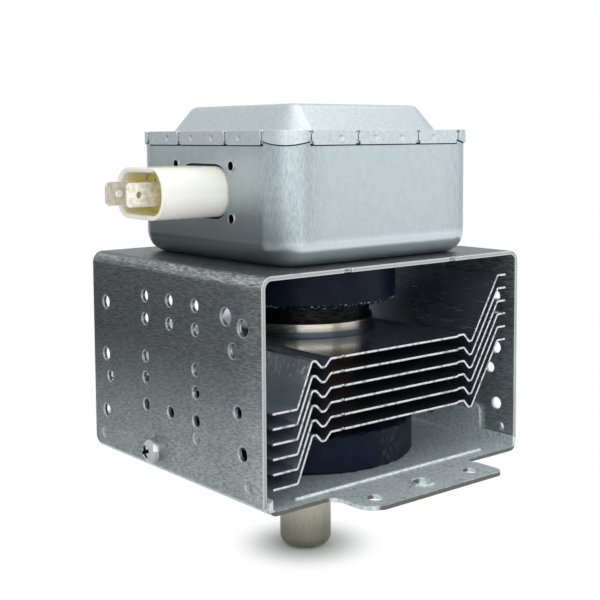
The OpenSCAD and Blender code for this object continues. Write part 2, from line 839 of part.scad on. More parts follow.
module anode_vanes() {
    color("peru") for (i = [0:vane_count - 1]) rotate(i*360/vane_count) {
        even = i%2 == 0;
        translate([0, 0, vane_z]) difference() {
            translate([vane_tip_r, -vane_t/2, 0])
                cube([anode_bore_r - vane_tip_r - fit, vane_t, vane_h]);
            translate([0, 0, vane_h]) {
                strap_notch(strap_inner_r, even);
                strap_notch(strap_outer_r, !even);
            }
            mirror([0, 0, 1]) {
                strap_notch(strap_inner_r, !even);
                strap_notch(strap_outer_r, even);
            }
        }
    }
}

module strap_rings() {
    color("peru") for (r = [strap_inner_r, strap_outer_r], z = [vane_z, vane_top - strap_h])
        ring(r + strap_w, r, z, z + strap_h);
}

// Funnel with its flange at the height 0 and its throat at +pole_depth
module pole_funnel() {
    slope_t = pole_t*1.1;
    rotate_extrude() polygon([
        [pole_seat_r - fit, 0],
        [pole_seat_r - fit, pole_t],
        [pole_flange_r, pole_t],
        [pole_cone_r + pole_land, pole_depth + pole_t],
        [pole_hole_r, pole_depth + pole_t],
        [pole_hole_r, pole_depth],
        [pole_cone_r - slope_t, pole_depth],
        [pole_flange_r - slope_t, 0]
    ]);
}

module upper_pole_piece() {
    color("dimgray") translate([0, 0, anode_top]) mirror([0, 0, 1]) pole_funnel();
}

module lower_pole_piece() {
    color("dimgray") difference() {
        translate([0, 0, anode_z]) pole_funnel();
        translate([antenna_lead_r - pole_pass_inset, 0, anode_z - cut])
            cylinder(h = anode_h/2, d = antenna_lead_d + 2*pole_pass_gap);
    }
}

// Stepped seal cup: flange on the anode's end at height 0, skirt up to skirt_h, neck up to neck_end
module seal_cup(skirt, neck_end) {
    skirt_r = cup_d/2;
    rotate_extrude() polygon([
        [skirt_r - cup_t, 0],
        [cup_flange_r, 0],
        [cup_flange_r, cup_t],
        [skirt_r, cup_t],
        [skirt_r, skirt],
        [neck_r, skirt],
        [neck_r, neck_end],
        [neck_bore_r, neck_end],
        [neck_bore_r, skirt - cup_t],
        [skirt_r - cup_t, skirt - cup_t]
    ]);
}

module cathode_seal_cup() {
    color("dimgray") translate([0, 0, anode_top]) seal_cup(cathode_cup_h, neck_top - anode_top);
}

module antenna_seal_cup() {
    color("dimgray") translate([0, 0, anode_z]) mirror([0, 0, 1])
        seal_cup(antenna_cup_h, anode_z - antenna_neck_z);
}

module filament() {
    steps = 12*filament_turns;
    rise = vane_h - filament_wire_d;
    coil = [
        for (i = [0:steps])
            let (a = 360*filament_turns*i/steps)
            [filament_r*cos(a), filament_r*sin(a), filament_z + filament_wire_d/2 + rise*i/steps]
    ];
    color("gray") wire(coil, filament_wire_d);
}

module upper_end_hat() {
    z = filament_z + vane_h + hat_gap;
    color("darkgray") ring(hat_r, lead_r + hat_lead_gap, z, z + hat_t);
}

module lower_end_hat() {
    z = filament_z - hat_gap - hat_t;
    color("darkgray") ring(hat_r, lead_r + fit, z, z + hat_t);
}

module centre_lead() {
    color("darkgray") wire([
        [0, 0, filament_z - hat_gap - hat_t],
        [0, 0, cathode_cup_top],
        [0, 0, lead_jog_z],
        [0, stem_pin_y, lead_end_z],
        [0, stem_pin_y, neck_top]
    ], lead_d);
}

module side_lead() {
    color("darkgray") wire([
        [0, -side_lead_y, filament_z + vane_h + hat_gap + hat_t],
        [0, -side_lead_y, cathode_cup_top],
        [0, -side_lead_y, lead_jog_z],
        [0, -stem_pin_y, lead_end_z],
        [0, -stem_pin_y, neck_top]
    ], lead_d);
}

module stem_ceramic() {
    color("mistyrose") difference() {
        translate([0, 0, neck_top]) cylinder(h = stem_h, r = neck_r);
        for (y = [-1, 1]) translate([0, y*stem_pin_y, neck_top - cut])
            cylinder(h = stem_h + 2*cut, d = stem_pin_d + 2*fit);
    }
}

module stem_terminals() {
    color("silver") for (y = [-1, 1]) translate([0, y*stem_pin_y, neck_top])
        cylinder(h = stem_h + stem_pin_rise, d = stem_pin_d);
}

// Output end

module antenna_lead() {
    corner = [
        [antenna_lead_r, vane_z],
        [antenna_lead_r, anode_z + pole_depth],
        [antenna_lead_r - antenna_lean, antenna_pass_z],
        [0, antenna_neck_z + antenna_bend_r],
        [0, exhaust_floor_z]
    ];
    bent = rounded_path(corner, antenna_bend_r);
    color("peru") wire([for (p = bent) [p.x, 0, p.y]], antenna_lead_d);
}

module antenna_ceramic() {
    color("mistyrose") ring(neck_r, output_bore_d/2, output_ceramic_z, antenna_neck_z);
}

module exhaust_tube() {
    pinch_l = 3;
    color("peru") difference() {
        union() {
            translate([0, 0, exhaust_end_z])
                cylinder(h = output_ceramic_z - exhaust_end_z, r = exhaust_r);
            translate([0, 0, output_ceramic_z - exhaust_flange_t])
                cylinder(h = exhaust_flange_t, r = cap_d/2 - cap_t - fit);
        }
        translate([0, 0, exhaust_floor_z])
            cylinder(h = output_ceramic_z - exhaust_floor_z + cut, r = exhaust_bore_r);
        for (a = [0, 180]) rotate(a) translate([exhaust_edge, 0, exhaust_end_z])
            rotate([0, atan2(exhaust_r - exhaust_edge, pinch_l), 0])
                translate([0, -exhaust_d, -2*exhaust_d]) cube([2*exhaust_d, 2*exhaust_d, 4*exhaust_d]);
    }
}

module antenna_cap() {
    r = cap_d/2;
    color("lightgray") translate([0, 0, -antenna_reach]) rotate_extrude() difference() {
        pan_section(r, cap_round, cap_h);
        translate([0, cap_t]) pan_section(r - cap_t, max(0.3, cap_round - cap_t), cap_h);
    }
}

module rf_gasket() {
    inner_r = neck_r + fit;
    width = gasket_d/2 - inner_r;
    round_r = gasket_h*0.35;
    color("gray") translate([0, 0, -gasket_h/2]) rotate_extrude()
        translate([inner_r + width/2, 0]) rounded_rect(width, gasket_h, round_r);
}

// Fins

// Middle line of the bent sheet, from the lowered wing to the raised one
function fin_line() = [
    [-left_edge - left_run - left_lip, -left_drop],
    [-left_edge - left_run, -left_drop],
    [-left_edge, 0],
    [-left_edge + left_shoulder, 0],
    [-flat_left - groove_w/2 - groove_floor/2, -groove_depth],
    [-flat_left - groove_w/2 + groove_floor/2, -groove_depth],
    [-flat_left, 0],
    [flat_right - step_run, 0],
    [flat_right, step_rise],
    [flat_right + step_w, step_rise],
    [right_edge - groove_floor, -groove_depth],
    [right_edge, -groove_depth],
    [right_edge + right_run, right_rise],
    [right_edge + right_run + right_lip, right_rise]
];

module fin(i) {
    z = anode_mid + (fin_count/2 - i + 0.5)*fin_pitch;
    outline = sheet_outline(rounded_path(fin_line(), fin_bend_r, 3), fin_t);
    color("lightsteelblue") translate([0, 0, z]) difference() {
        union() {
            rotate([90, 0, 0]) linear_extrude(fin_d, center = true) polygon(outline);
            ring(fin_bore_r + collar_t, fin_bore_r, 0, collar_h);
        }
        translate([0, 0, -cut]) cylinder(h = collar_h + 2*cut, r = fin_bore_r);
        for (y = [-1, 1]) translate([-fin_notch_x, y*fin_d/2, -cut])
            cylinder(h = 2*cut, r = fin_notch_r);
    }
}

// Filter box and lid

// Outline of the sleeve, on the box's -X side, drawn along +X from x0 to x1
module sleeve_bar(x0, x1, grow) {
    translate([x0, 0, sleeve_axis_z]) rotate([90, 0, 90]) linear_extrude(x1 - x0)
        rounded_rect(sleeve_w + 2*grow, sleeve_h + 2*grow, sleeve_r + grow);
}

// The four eyelet places round the sleeve
module at_eyelets(x) {
    for (y = [-1, 1], z = [-1, 1])
        translate([x, y*eyelet_dy/2, sleeve_axis_z + z*eyelet_dz/2]) rotate([0, 90, 0]) children();
}

module filter_box() {
    color("lightsteelblue") difference() {
        translate([0, 0, box_z]) swept_square(box_straight, box_h)
            pan_section(box_corner_r, box_edge_r, box_h);
        translate([0, 0, box_z + box_t]) swept_square(box_straight, box_h)
            pan_section(box_corner_r - box_t, box_edge_r - box_t, box_h);
        translate([0, 0, box_z - cut]) cylinder(h = box_t + 2*cut, r = neck_hole_r);
        sleeve_bar(box_face_x - cut, earth_x + cut, sleeve_gap);
        at_eyelets(box_face_x - cut) cylinder(h = box_t + 2*cut, d = eyelet_d + 2*eyelet_t + 2*fit);
    }
}

// Gaps of the lid's skirt, drawn as bars across each side
module skirt_gaps(w, z0, z1) {
    for (a = [0:90:270], s = [-1, 1], y = [gap_inner, gap_outer]) rotate(a)
        translate([lid_w/2 - lid_t - relief_h, s*y - w/2, z0]) cube([relief_h + lid_t + cut, w, z1 - z0]);
}

// Tool that rounds the skirt's lower corners on both sides of each gap
module skirt_rounds(z) {
    for (a = [0:90:270], s = [-1, 1], y = [gap_inner, gap_outer], side = [0, 1]) rotate(a)
        translate([lid_w/2 - lid_t - fit, s*y, z]) mirror([0, side, 0])
            rotate([90, 0, 90]) linear_extrude(lid_t + cut)
                translate([gap_w/2, 0]) corner_waste(skirt_round);
}

// Tool that gives each corner of the skirt its curved lower edge
module corner_smiles(z) {
    half_chord = (lid_w/2 - gap_outer)/sqrt(2);
    r = (half_chord*half_chord + smile_rise*smile_rise)/(2*smile_rise);
    depth = lid_corner_r;
    for (a = [45:90:315]) rotate(a) translate([lid_w/sqrt(2) - depth, 0, z]) difference() {
        translate([0, -half_chord, -cut]) cube([depth, 2*half_chord, smile_rise + cut]);
        translate([-cut, 0, r]) rotate([0, 90, 0]) cylinder(h = depth + 2*cut, r = r);
    }
}

module filter_lid() {
    skirt_z = lid_top - skirt_h;
    slope_t = lid_t/sin(dome_angle);
    color("gainsboro") difference() {
        union() {
            translate([0, 0, skirt_z]) linear_extrude(skirt_h)
                rounded_rect(lid_w, lid_w, lid_corner_r);
            translate([0, 0, lid_top]) swept_square(dome_straight, dome_h)
                dome_section(dome_corner_r, dome_h, dome_edge_r);
        }
        translate([0, 0, skirt_z - cut]) linear_extrude(skirt_h - lid_t + cut)
            rounded_rect(box_w + 2*fit, box_w + 2*fit, box_corner_r + fit);
        translate([0, 0, lid_top]) swept_square(dome_straight, dome_h - lid_t)
            dome_section(dome_corner_r - slope_t, dome_h - lid_t, dome_edge_r - lid_t);
        translate([0, 0, box_top - cut]) linear_extrude(lid_t + cut)
            rounded_rect(dome_w - 2*slope_t, dome_w - 2*slope_t, dome_corner_r - slope_t);
        skirt_gaps(gap_w, skirt_z - cut, lid_top - relief_h/2);
        skirt_gaps(relief_w, lid_top - relief_h, lid_top + cut);
        skirt_rounds(skirt_z);
        corner_smiles(skirt_z);
        for (a = [0:90:270], s = [-1, 1], y = [dimple_inner, dimple_outer]) rotate(a)
            translate([-lid_w/2, s*y, skirt_z + skirt_h/2]) dimple_tool(2*dimple_r, dimple_depth);
    }
}

// Feed-through capacitor

module capacitor_sleeve() {
    color("ivory") difference() {
        sleeve_bar(sleeve_end_x, earth_x, 0);
        sleeve_bar(sleeve_end_x - cut, earth_x + cut, -sleeve_t);
    }
}

// Both terminals' stems along X, as tools
module at_blades(x) {
    for (y = [-1, 1]) translate([x, y*blade_pitch/2, sleeve_axis_z]) rotate([0, 90, 0]) children();
}

module capacitor_potting() {
    inner_x = case_x + ceramic_l;
    color("khaki") {
        difference() {
            sleeve_bar(potting_x, earth_x, -sleeve_t - fit);
            for (y = [-1, 1]) translate([potting_x - cut, y*blade_pitch/2, sleeve_axis_z])
                blade_slot(blade_root_x - potting_x + cut);
            at_blades(potting_x - cut) cylinder(h = earth_x - potting_x + 2*cut, d = rod_d + 2*fit);
        }
        difference() {
            sleeve_bar(inner_x, case_x + case_l - case_wall, -sleeve_t - case_wall - fit);
            at_blades(inner_x - cut) cylinder(h = case_l, d = rod_d + 2*fit);
        }
    }
}

// Slot that a blade's root fills, along +X from the origin
module blade_slot(l) {
    translate([0, -blade_t/2 - fit, -blade_w/2 - fit]) cube([l, blade_t + 2*fit, blade_w + 2*fit]);
}

module earth_plate() {
    plate_y = eyelet_dy + 2*earth_margin;
    plate_z = eyelet_dz + 2*earth_margin;
    color("silver") difference() {
        union() {
            translate([earth_x, 0, sleeve_axis_z]) rotate([90, 0, 90]) linear_extrude(earth_t)
                rounded_rect(plate_y, plate_z, earth_margin);
            at_eyelets(box_face_x - eyelet_proud)
                cylinder(h = box_t + eyelet_proud + earth_t/2, d = eyelet_d + 2*eyelet_t);
        }
        at_eyelets(box_face_x - cut) cylinder(h = box_t + earth_t + 2*cut, d = eyelet_d);
        at_blades(earth_x - cut) cylinder(h = earth_t + 2*cut, d = rod_d + 2*rod_pass_gap);
    }
}

module capacitor_case() {
    color("ivory") difference() {
        sleeve_bar(case_x, case_x + case_l, -sleeve_t);
        sleeve_bar(case_x - cut, case_x + case_l - case_wall, -sleeve_t - case_wall);
        at_blades(case_x) cylinder(h = case_l + cut, d = rod_d + 2*fit);
    }
}

module capacitor_ceramic() {
    color("burlywood") difference() {
        sleeve_bar(case_x, case_x + ceramic_l, -sleeve_t - case_wall - fit);
        at_blades(case_x - cut) cylinder(h = ceramic_l + 2*cut, d = rod_d + 2*fit);
    }
}

// Blade, stem and tail of one terminal, along X at the height of the sleeve's axis
module terminal(side) {
    translate([0, side*blade_pitch/2, sleeve_axis_z]) {
        difference() {
            translate([blade_tip_x, blade_t/2, 0]) rotate([90, 0, 0]) linear_extrude(blade_t)
                blade_plan(blade_root_x - blade_tip_x);
            translate([blade_tip_x + blade_w*0.6, 0, 0])
                rotate([90, 0, 0]) cylinder(h = 2*blade_w, d = detent_d, center = true);
        }
        translate([blade_root_x, 0, 0]) rotate([0, 90, 0])
            cylinder(h = rod_end_x - blade_root_x, d = rod_d);
    }
}

// Blade of length l with a chamfered tip at the origin
module blade_plan(l) {
    c = blade_chamfer;
    h = blade_w/2;
    polygon([[0, -h + c], [c, -h], [l, -h], [l, h], [c, h], [0, h - c]]);
}

module terminal_front() {
    color("lightgoldenrodyellow") terminal(-1);
}

module terminal_rear() {
    color("lightgoldenrodyellow") terminal(1);
}

// Chokes

// Wire of the choke on the +Y side, from its terminal through the coil to the stem
function choke_path() =
    let (top_z = sleeve_axis_z,
         start_x = choke_lead_x,
         pitch = (choke_end_x - start_x)/choke_angle,
         steps = 12*choke_turns + 6,
         foot_z = choke_z - choke_r,
         blade_y = blade_pitch/2,
         pin_y = stem_pin_y + stem_pin_d/2)
    concat(
        [for (p = rounded_path([[rod_end_x, blade_y], [start_x, blade_y], [start_x, choke_y]], choke_bend_r))
            [p.x, p.y, top_z]],
        [for (i = [1:steps]) let (a = choke_angle*i/steps)
            [start_x + pitch*a, choke_y + choke_r*sin(a), choke_z + choke_r*cos(a)]],
        [[choke_end_x, (choke_y + pin_y)/2, foot_z], [choke_end_x, pin_y, foot_z]]
    );

module choke_coil_rear() {
    color("peru") wire(choke_path(), choke_wire_d);
}

module choke_coil_front() {
    color("peru") mirror([0, 1, 0]) wire(choke_path(), choke_wire_d);
}

// Ferrite rod inside a coil, with broken ends
module ferrite_core(side) {
    c = core_r*0.15;
    middle_x = (choke_lead_x + choke_end_x)/2;
    translate([middle_x - core_l/2, side*choke_y, choke_z]) rotate([0, 90, 0]) rotate_extrude()
        polygon([
            [0, 0], [core_r - c, 0], [core_r, c],
            [core_r, core_l - c], [core_r - c, core_l], [0, core_l]
        ]);
}

module ferrite_core_front() {
    color("dimgray") ferrite_core(-1);
}

module ferrite_core_rear() {
    color("dimgray") ferrite_core(1);
}

yoke_frame();
mounting_plate();
yoke_screws();
upper_magnet();
lower_magnet();
anode_cylinder();
anode_vanes();
strap_rings();
upper_pole_piece();
lower_pole_piece();
cathode_seal_cup();
antenna_seal_cup();
filament();
upper_end_hat();
lower_end_hat();
centre_lead();
side_lead();
stem_ceramic();
stem_terminals();
antenna_lead();
antenna_ceramic();
exhaust_tube();
antenna_cap();
rf_gasket();
fin(1);  // fin_1
fin(2);  // fin_2
fin(3);  // fin_3
fin(4);  // fin_4
fin(5);  // fin_5
fin(6);  // fin_6
filter_box();
filter_lid();
capacitor_sleeve();
capacitor_potting();
earth_plate();
capacitor_case();
capacitor_ceramic();
terminal_front();
terminal_rear();
choke_coil_front();
choke_coil_rear();
ferrite_core_front();
ferrite_core_rear();
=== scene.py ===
"""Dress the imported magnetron: modelled pieces, finishes, studio light and camera.

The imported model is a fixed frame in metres: +Z up the tube's axis, the output antenna down, the
blade terminals towards -X and the yoke's open sides towards -Y and +Y. Sizes in this file are in
millimetres and angles in degrees.
"""

from __future__ import annotations

import logging
import math
from abc import ABC, abstractmethod
from collections.abc import Callable
from dataclasses import dataclass
from enum import Enum

import bpy
from mathutils import Matrix, Vector

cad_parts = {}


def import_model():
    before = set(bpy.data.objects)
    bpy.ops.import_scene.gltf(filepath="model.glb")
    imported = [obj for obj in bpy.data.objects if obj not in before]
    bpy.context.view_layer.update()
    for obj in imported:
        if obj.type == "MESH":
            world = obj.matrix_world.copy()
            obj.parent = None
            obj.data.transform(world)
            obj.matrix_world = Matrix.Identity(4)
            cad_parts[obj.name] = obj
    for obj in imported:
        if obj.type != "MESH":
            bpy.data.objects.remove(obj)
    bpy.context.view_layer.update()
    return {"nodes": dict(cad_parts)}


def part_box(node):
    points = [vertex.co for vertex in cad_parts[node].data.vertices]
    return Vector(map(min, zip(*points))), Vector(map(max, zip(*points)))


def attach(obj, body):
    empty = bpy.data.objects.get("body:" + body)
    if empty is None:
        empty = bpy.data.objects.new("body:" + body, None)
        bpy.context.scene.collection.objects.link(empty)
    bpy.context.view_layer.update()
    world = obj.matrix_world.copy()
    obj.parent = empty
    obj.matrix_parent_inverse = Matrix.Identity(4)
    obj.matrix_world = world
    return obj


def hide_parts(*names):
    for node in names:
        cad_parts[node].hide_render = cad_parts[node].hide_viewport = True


MM = 0.001
BODY = "root"
# Least part of a face's normal along an axis that the face looks along
ALONG = 0.9
# Distance from a plane or a round wall within which an element lies on it
NEAR = 0.1
# Strength of each relief, whose depth is the finish's own
RELIEF_STRENGTH = 0.5
# Spread of red, green and blue light inside a pale plastic or resin, beside its scatter
SCATTER_SPREAD = (1.0, 0.9, 0.7)
# Kinds of ray that see the white background: straight, mirrored and through glass
BACKGROUND_RAYS = ("Is Camera Ray", "Is Glossy Ray", "Is Transmission Ray")
log = logging.getLogger("magnetron")

Piece = bpy.types.Object
Socket = bpy.types.NodeSocket
Tree = bpy.types.NodeTree
Values = dict[str | int, object]


class Axis(Enum):
    """Axis of the frame that a face looks along or a place is read on."""

    X = 0
    Y = 1
    Z = 2


class Element(Enum):
    """Kind of mesh element that is selected by its place."""

    EDGE = 1
    FACE = 2


def linear(tone: str) -> tuple[float, float, float, float]:
    """Turn an sRGB hex colour into linear RGBA.

    Args:
        tone: Colour as "#rrggbb".

    Returns:
        Linear red, green, blue and an alpha of 1.
    """
    parts = [int(tone[i:i + 2], 16) / 255 for i in (1, 3, 5)]
    red, green, blue = (c / 12.92 if c <= 0.04045 else ((c + 0.055) / 1.055) ** 2.4 for c in parts)
    return red, green, blue, 1.0


def per_metre(size: float) -> float:
    """Give the texture scale at which one pattern repeat has this size in millimetres."""
    return 1 / (size * MM)


def fill_node(tree: Tree, node: bpy.types.Node, values: Values) -> None:
    """Set a node's properties and inputs, and link the inputs that get a socket.

    Args:
        tree: Node tree that holds the node.
        node: Node to fill.
        values: Property values by name, and input values or output sockets by socket name or number.
    """
    for key, value in values.items():
        if isinstance(value, Socket):
            tree.links.new(value, node.inputs[key])
        elif isinstance(key, str) and hasattr(node, key):
            setattr(node, key, value)
        else:
            node.inputs[key].default_value = value


def add_node(tree: Tree, kind: str, values: Values | None = None) -> bpy.types.Node:
    """Add one shader node with its settings and links.

    Args:
        tree: Node tree that gets the node.
        kind: Blender's name for the node type.
        values: What fill_node sets on it.

    Returns:
        The new node.
    """
    node = tree.nodes.new(kind)
    fill_node(tree, node, values or {})
    return node


class Pattern(ABC):
    """Part of a surface, as a value that goes softly from 0 at one reading of a measure to 1 at another."""

    start: float
    end: float
    unit = MM

    @abstractmethod
    def measure(self, tree: Tree) -> Socket:
        """Read the measure off the surface.

        Args:
            tree: Node tree of the material.

        Returns:
            Value socket with the reading.
        """

    def level(self, tree: Tree) -> Socket:
        """Give the pattern's value.

        Args:
            tree: Node tree of the material.

        Returns:
            Value socket from 0 to 1.
        """
        ends = {"From Min": self.start * self.unit, "From Max": self.end * self.unit}
        ramp = {"interpolation_type": "SMOOTHSTEP", "Value": self.measure(tree), **ends}
        return add_node(tree, "ShaderNodeMapRange", ramp).outputs[0]


@dataclass(frozen=True)
class Grain(Pattern):
    """Irregular blotches of a real size, alike all ways or drawn out along X, Y or Z for streaks."""

    size: float | tuple[float, float, float]
    start: float = 0.36
    end: float = 0.64
    detail: float = 2.0
    unit = 1.0

    def measure(self, tree: Tree) -> Socket:
        """Read noise that is fitted to the size.

        Args:
            tree: Node tree of the material.

        Returns:
            The noise value.
        """
        place = add_node(tree, "ShaderNodeTexCoord").outputs["Object"]
        sizes = self.size if isinstance(self.size, tuple) else (self.size,) * 3
        scale = tuple(per_metre(size) for size in sizes)
        fitted = add_node(tree, "ShaderNodeMapping", {"Vector": place, "Scale": scale}).outputs[0]
        noise = {"Vector": fitted, "Scale": 1.0, "Detail": self.detail}
        return add_node(tree, "ShaderNodeTexNoise", noise).outputs[0]


@dataclass(frozen=True)
class Zone(Pattern):
    """What lies past a place along one axis, with a soft start, or past it either way from the middle."""

    axis: Axis
    start: float
    end: float
    both: bool = False

    def measure(self, tree: Tree) -> Socket:
        """Read the place along the axis.

        Args:
            tree: Node tree of the material.

        Returns:
            The place, or its distance from the middle.
        """
        place = add_node(tree, "ShaderNodeTexCoord").outputs["Object"]
        along = add_node(tree, "ShaderNodeSeparateXYZ", {0: place}).outputs[self.axis.value]
        if self.both:
            along = add_node(tree, "ShaderNodeMath", {"operation": "ABSOLUTE", 0: along}).outputs[0]
        return along


@dataclass(frozen=True)
class NearAxis(Pattern):
    """What lies within a distance from the tube's axis, from where it starts to where it is full."""

    start: float
    end: float

    def measure(self, tree: Tree) -> Socket:
        """Read the distance from the axis.

        Args:
            tree: Node tree of the material.

        Returns:
            The distance.
        """
        place = add_node(tree, "ShaderNodeTexCoord").outputs["Object"]
        across = {"operation": "MULTIPLY", 0: place, 1: (1, 1, 0)}
        arm = add_node(tree, "ShaderNodeVectorMath", across).outputs[0]
        return add_node(tree, "ShaderNodeVectorMath", {"operation": "LENGTH", 0: arm}).outputs["Value"]


@dataclass(frozen=True)
class Facing(Pattern):
    """Faces that look along one axis, either way."""

    axis: Axis
    start: float = 0.8
    end: float = 0.95
    unit = 1.0

    def measure(self, tree: Tree) -> Socket:
        """Read the part of the normal along the axis.

        Args:
            tree: Node tree of the material.

        Returns:
            That part, without its sign.
        """
        normal = add_node(tree, "ShaderNodeTexCoord").outputs["Normal"]
        along = add_node(tree, "ShaderNodeSeparateXYZ", {0: normal}).outputs[self.axis.value]
        return add_node(tree, "ShaderNodeMath", {"operation": "ABSOLUTE", 0: along}).outputs[0]


@dataclass(frozen=True)
class WornEdge(Pattern):
    """Sharp edges that handling and tools have rubbed, as far as a distance from the edge.

    The readings are how well the rounded normal matches the face's own, which is 1 away from edges.
    """

    reach: float
    start: float = 0.98
    end: float = 0.8
    samples: int = 6
    unit = 1.0

    def measure(self, tree: Tree) -> Socket:
        """Read how well the rounded normal matches the face's own.

        Args:
            tree: Node tree of the material.

        Returns:
            The match, 1 away from edges.
        """
        bevel = {"samples": self.samples, "Radius": self.reach * MM}
        rounded = add_node(tree, "ShaderNodeBevel", bevel).outputs[0]
        own = add_node(tree, "ShaderNodeNewGeometry").outputs["True Normal"]
        match = {"operation": "DOT_PRODUCT", 0: rounded, 1: own}
        return add_node(tree, "ShaderNodeVectorMath", match).outputs["Value"]


@dataclass(frozen=True)
class BoxCorner(Pattern):
    """Upright corners of the square box, where both sides are near their ends."""

    start: float
    end: float

    def measure(self, tree: Tree) -> Socket:
        """Read the smaller distance from the two middle planes.

        Args:
            tree: Node tree of the material.

        Returns:
            The distance.
        """
        place = add_node(tree, "ShaderNodeTexCoord").outputs["Object"]
        size = add_node(tree, "ShaderNodeVectorMath", {"operation": "ABSOLUTE", 0: place}).outputs[0]
        split = add_node(tree, "ShaderNodeSeparateXYZ", {0: size})
        least = {"operation": "MINIMUM", 0: split.outputs[0], 1: split.outputs[1]}
        return add_node(tree, "ShaderNodeMath", least).outputs[0]


@dataclass(frozen=True)
class SkirtShadowLine(Pattern):
    """Painted shadow line on the box under the lower edge of the lid's skirt, which rises in an arc on each
    corner piece.
    """

    start: float = 0.4
    end: float = 0.2
    edge: float = 91.2
    corner: BoxCorner = BoxCorner(27.1, 27.3)
    arc_r: float = 19.4

    def measure(self, tree: Tree) -> Socket:
        """Read the distance from the skirt's lower edge.

        Args:
            tree: Node tree of the material.

        Returns:
            The distance, above or below the edge.
        """
        place = add_node(tree, "ShaderNodeTexCoord").outputs["Object"]
        height = add_node(tree, "ShaderNodeSeparateXYZ", {0: place}).outputs[2]
        size = add_node(tree, "ShaderNodeVectorMath", {"operation": "ABSOLUTE", 0: place}).outputs[0]
        split = add_node(tree, "ShaderNodeSeparateXYZ", {0: size})
        across = {"operation": "SUBTRACT", 0: split.outputs[0], 1: split.outputs[1]}
        skew = add_node(tree, "ShaderNodeMath", across).outputs[0]
        square = add_node(tree, "ShaderNodeMath", {"operation": "MULTIPLY", 0: skew, 1: skew}).outputs[0]
        sagitta = {"operation": "MULTIPLY", 0: square, 1: per_metre(4 * self.arc_r)}
        arc = add_node(tree, "ShaderNodeMath", sagitta).outputs[0]
        on_corner = {"operation": "MULTIPLY", 0: arc, 1: self.corner.level(tree)}
        rise = add_node(tree, "ShaderNodeMath", on_corner).outputs[0]
        above = add_node(tree, "ShaderNodeMath", {"operation": "SUBTRACT", 0: height, 1: rise}).outputs[0]
        from_edge = {"operation": "SUBTRACT", 0: above, 1: self.edge * MM}
        offset = add_node(tree, "ShaderNodeMath", from_edge).outputs[0]
        return add_node(tree, "ShaderNodeMath", {"operation": "ABSOLUTE", 0: offset}).outputs[0]


@dataclass(frozen=True)
class SleeveInside(Pattern):
    """Faces of the sleeve that look towards its axis, which runs along X."""

    start: float = 1.0
    end: float = -1.0
    axis_z: float = 78.6

    def measure(self, tree: Tree) -> Socket:
        """Read how far a face lies out from the axis along its own normal.

        Args:
            tree: Node tree of the material.

        Returns:
            The distance, below 0 on the inner wall.
        """
        coordinates = add_node(tree, "ShaderNodeTexCoord")
        middle = {"operation": "SUBTRACT", 0: coordinates.outputs["Object"], 1: (0, 0, self.axis_z * MM)}
        offset = add_node(tree, "ShaderNodeVectorMath", middle).outputs[0]
        across = {"operation": "MULTIPLY", 0: offset, 1: (0, 1, 1)}
        radial = add_node(tree, "ShaderNodeVectorMath", across).outputs[0]
        outwards = {"operation": "DOT_PRODUCT", 0: radial, 1: coordinates.outputs["Normal"]}
        return add_node(tree, "ShaderNodeVectorMath", outwards).outputs["Value"]


@dataclass(frozen=True)
class Layer:
    """What lies over a finish where some patterns meet: its tone, its roughness and how much it covers."""

    where: tuple[Pattern, ...]
    tone: str
    roughness: float | None = None
    share: float = 1.0

    def level(self, tree: Tree) -> Socket:
        """Give the product of the patterns and the layer's share.

        Args:
            tree: Node tree of the material.

        Returns:
            Value socket from 0 to 1.
        """
        product = self.where[0].level(tree)
        factors: list[Socket | float] = [pattern.level(tree) for pattern in self.where[1:]]
        for factor in [*factors, self.share]:
            values = {"operation": "MULTIPLY", 0: product, 1: factor}
            product = add_node(tree, "ShaderNodeMath", values).outputs[0]
        return product


@dataclass(frozen=True)
class Finish:
    """Surface of one real material: a base tone and roughness, the layers over it and its relief."""

    name: str
    tone: str
    roughness: float
    layers: tuple[Layer, ...] = ()
    metallic: float = 1.0
    relief: Pattern | None = None
    relief_mm: float = 0.01
    ior: float | None = None
    gloss: float = 0.5
    scatter_mm: float = 0.0

    def material(self) -> bpy.types.Material:
        """Give the Blender material, made the first time it is asked for.

        Returns:
            The material.
        """
        made = bpy.data.materials.get(self.name)
        if made is None:
            made = bpy.data.materials.new(self.name)
            made.use_nodes = True
            self.paint(made.node_tree)
        return made

    def paint(self, tree: Tree) -> None:
        """Link the layers and the relief to the shader.

        Args:
            tree: Node tree of the new material.
        """
        colour: Socket | tuple[float, ...] = linear(self.tone)
        rough: Socket | float = self.roughness
        for layer in self.layers:
            factor = layer.level(tree)
            tones = {"data_type": "RGBA", 0: factor, 6: colour, 7: linear(layer.tone)}
            colour = add_node(tree, "ShaderNodeMix", tones).outputs[2]
            if layer.roughness is not None:
                values = {"data_type": "FLOAT", 0: factor, 2: rough, 3: layer.roughness}
                rough = add_node(tree, "ShaderNodeMix", values).outputs[0]
        surface: Values = {
            "Base Color": colour, "Roughness": rough,
            "Metallic": self.metallic, "Specular IOR Level": self.gloss,
        }
        if self.relief is not None:
            height = {"Height": self.relief.level(tree), "Distance": self.relief_mm * MM}
            bump = add_node(tree, "ShaderNodeBump", {"Strength": RELIEF_STRENGTH, **height})
            surface["Normal"] = bump.outputs[0]
        if self.ior is not None:
            surface["IOR"] = self.ior
        if self.scatter_mm:
            surface["Subsurface Weight"] = 1.0
            surface["Subsurface Radius"] = SCATTER_SPREAD
            surface["Subsurface Scale"] = self.scatter_mm * MM
        fill_node(tree, tree.nodes["Principled BSDF"], surface)


# Places on the sheets that more than one layer names
LEFT_FACE = Zone(Axis.X, -46.9, -47.3)
RIGHT_WING = Zone(Axis.X, 27.0, 29.0)
FIN_ENDS = (Facing(Axis.Y), Zone(Axis.Y, 41.2, 41.5, both=True))
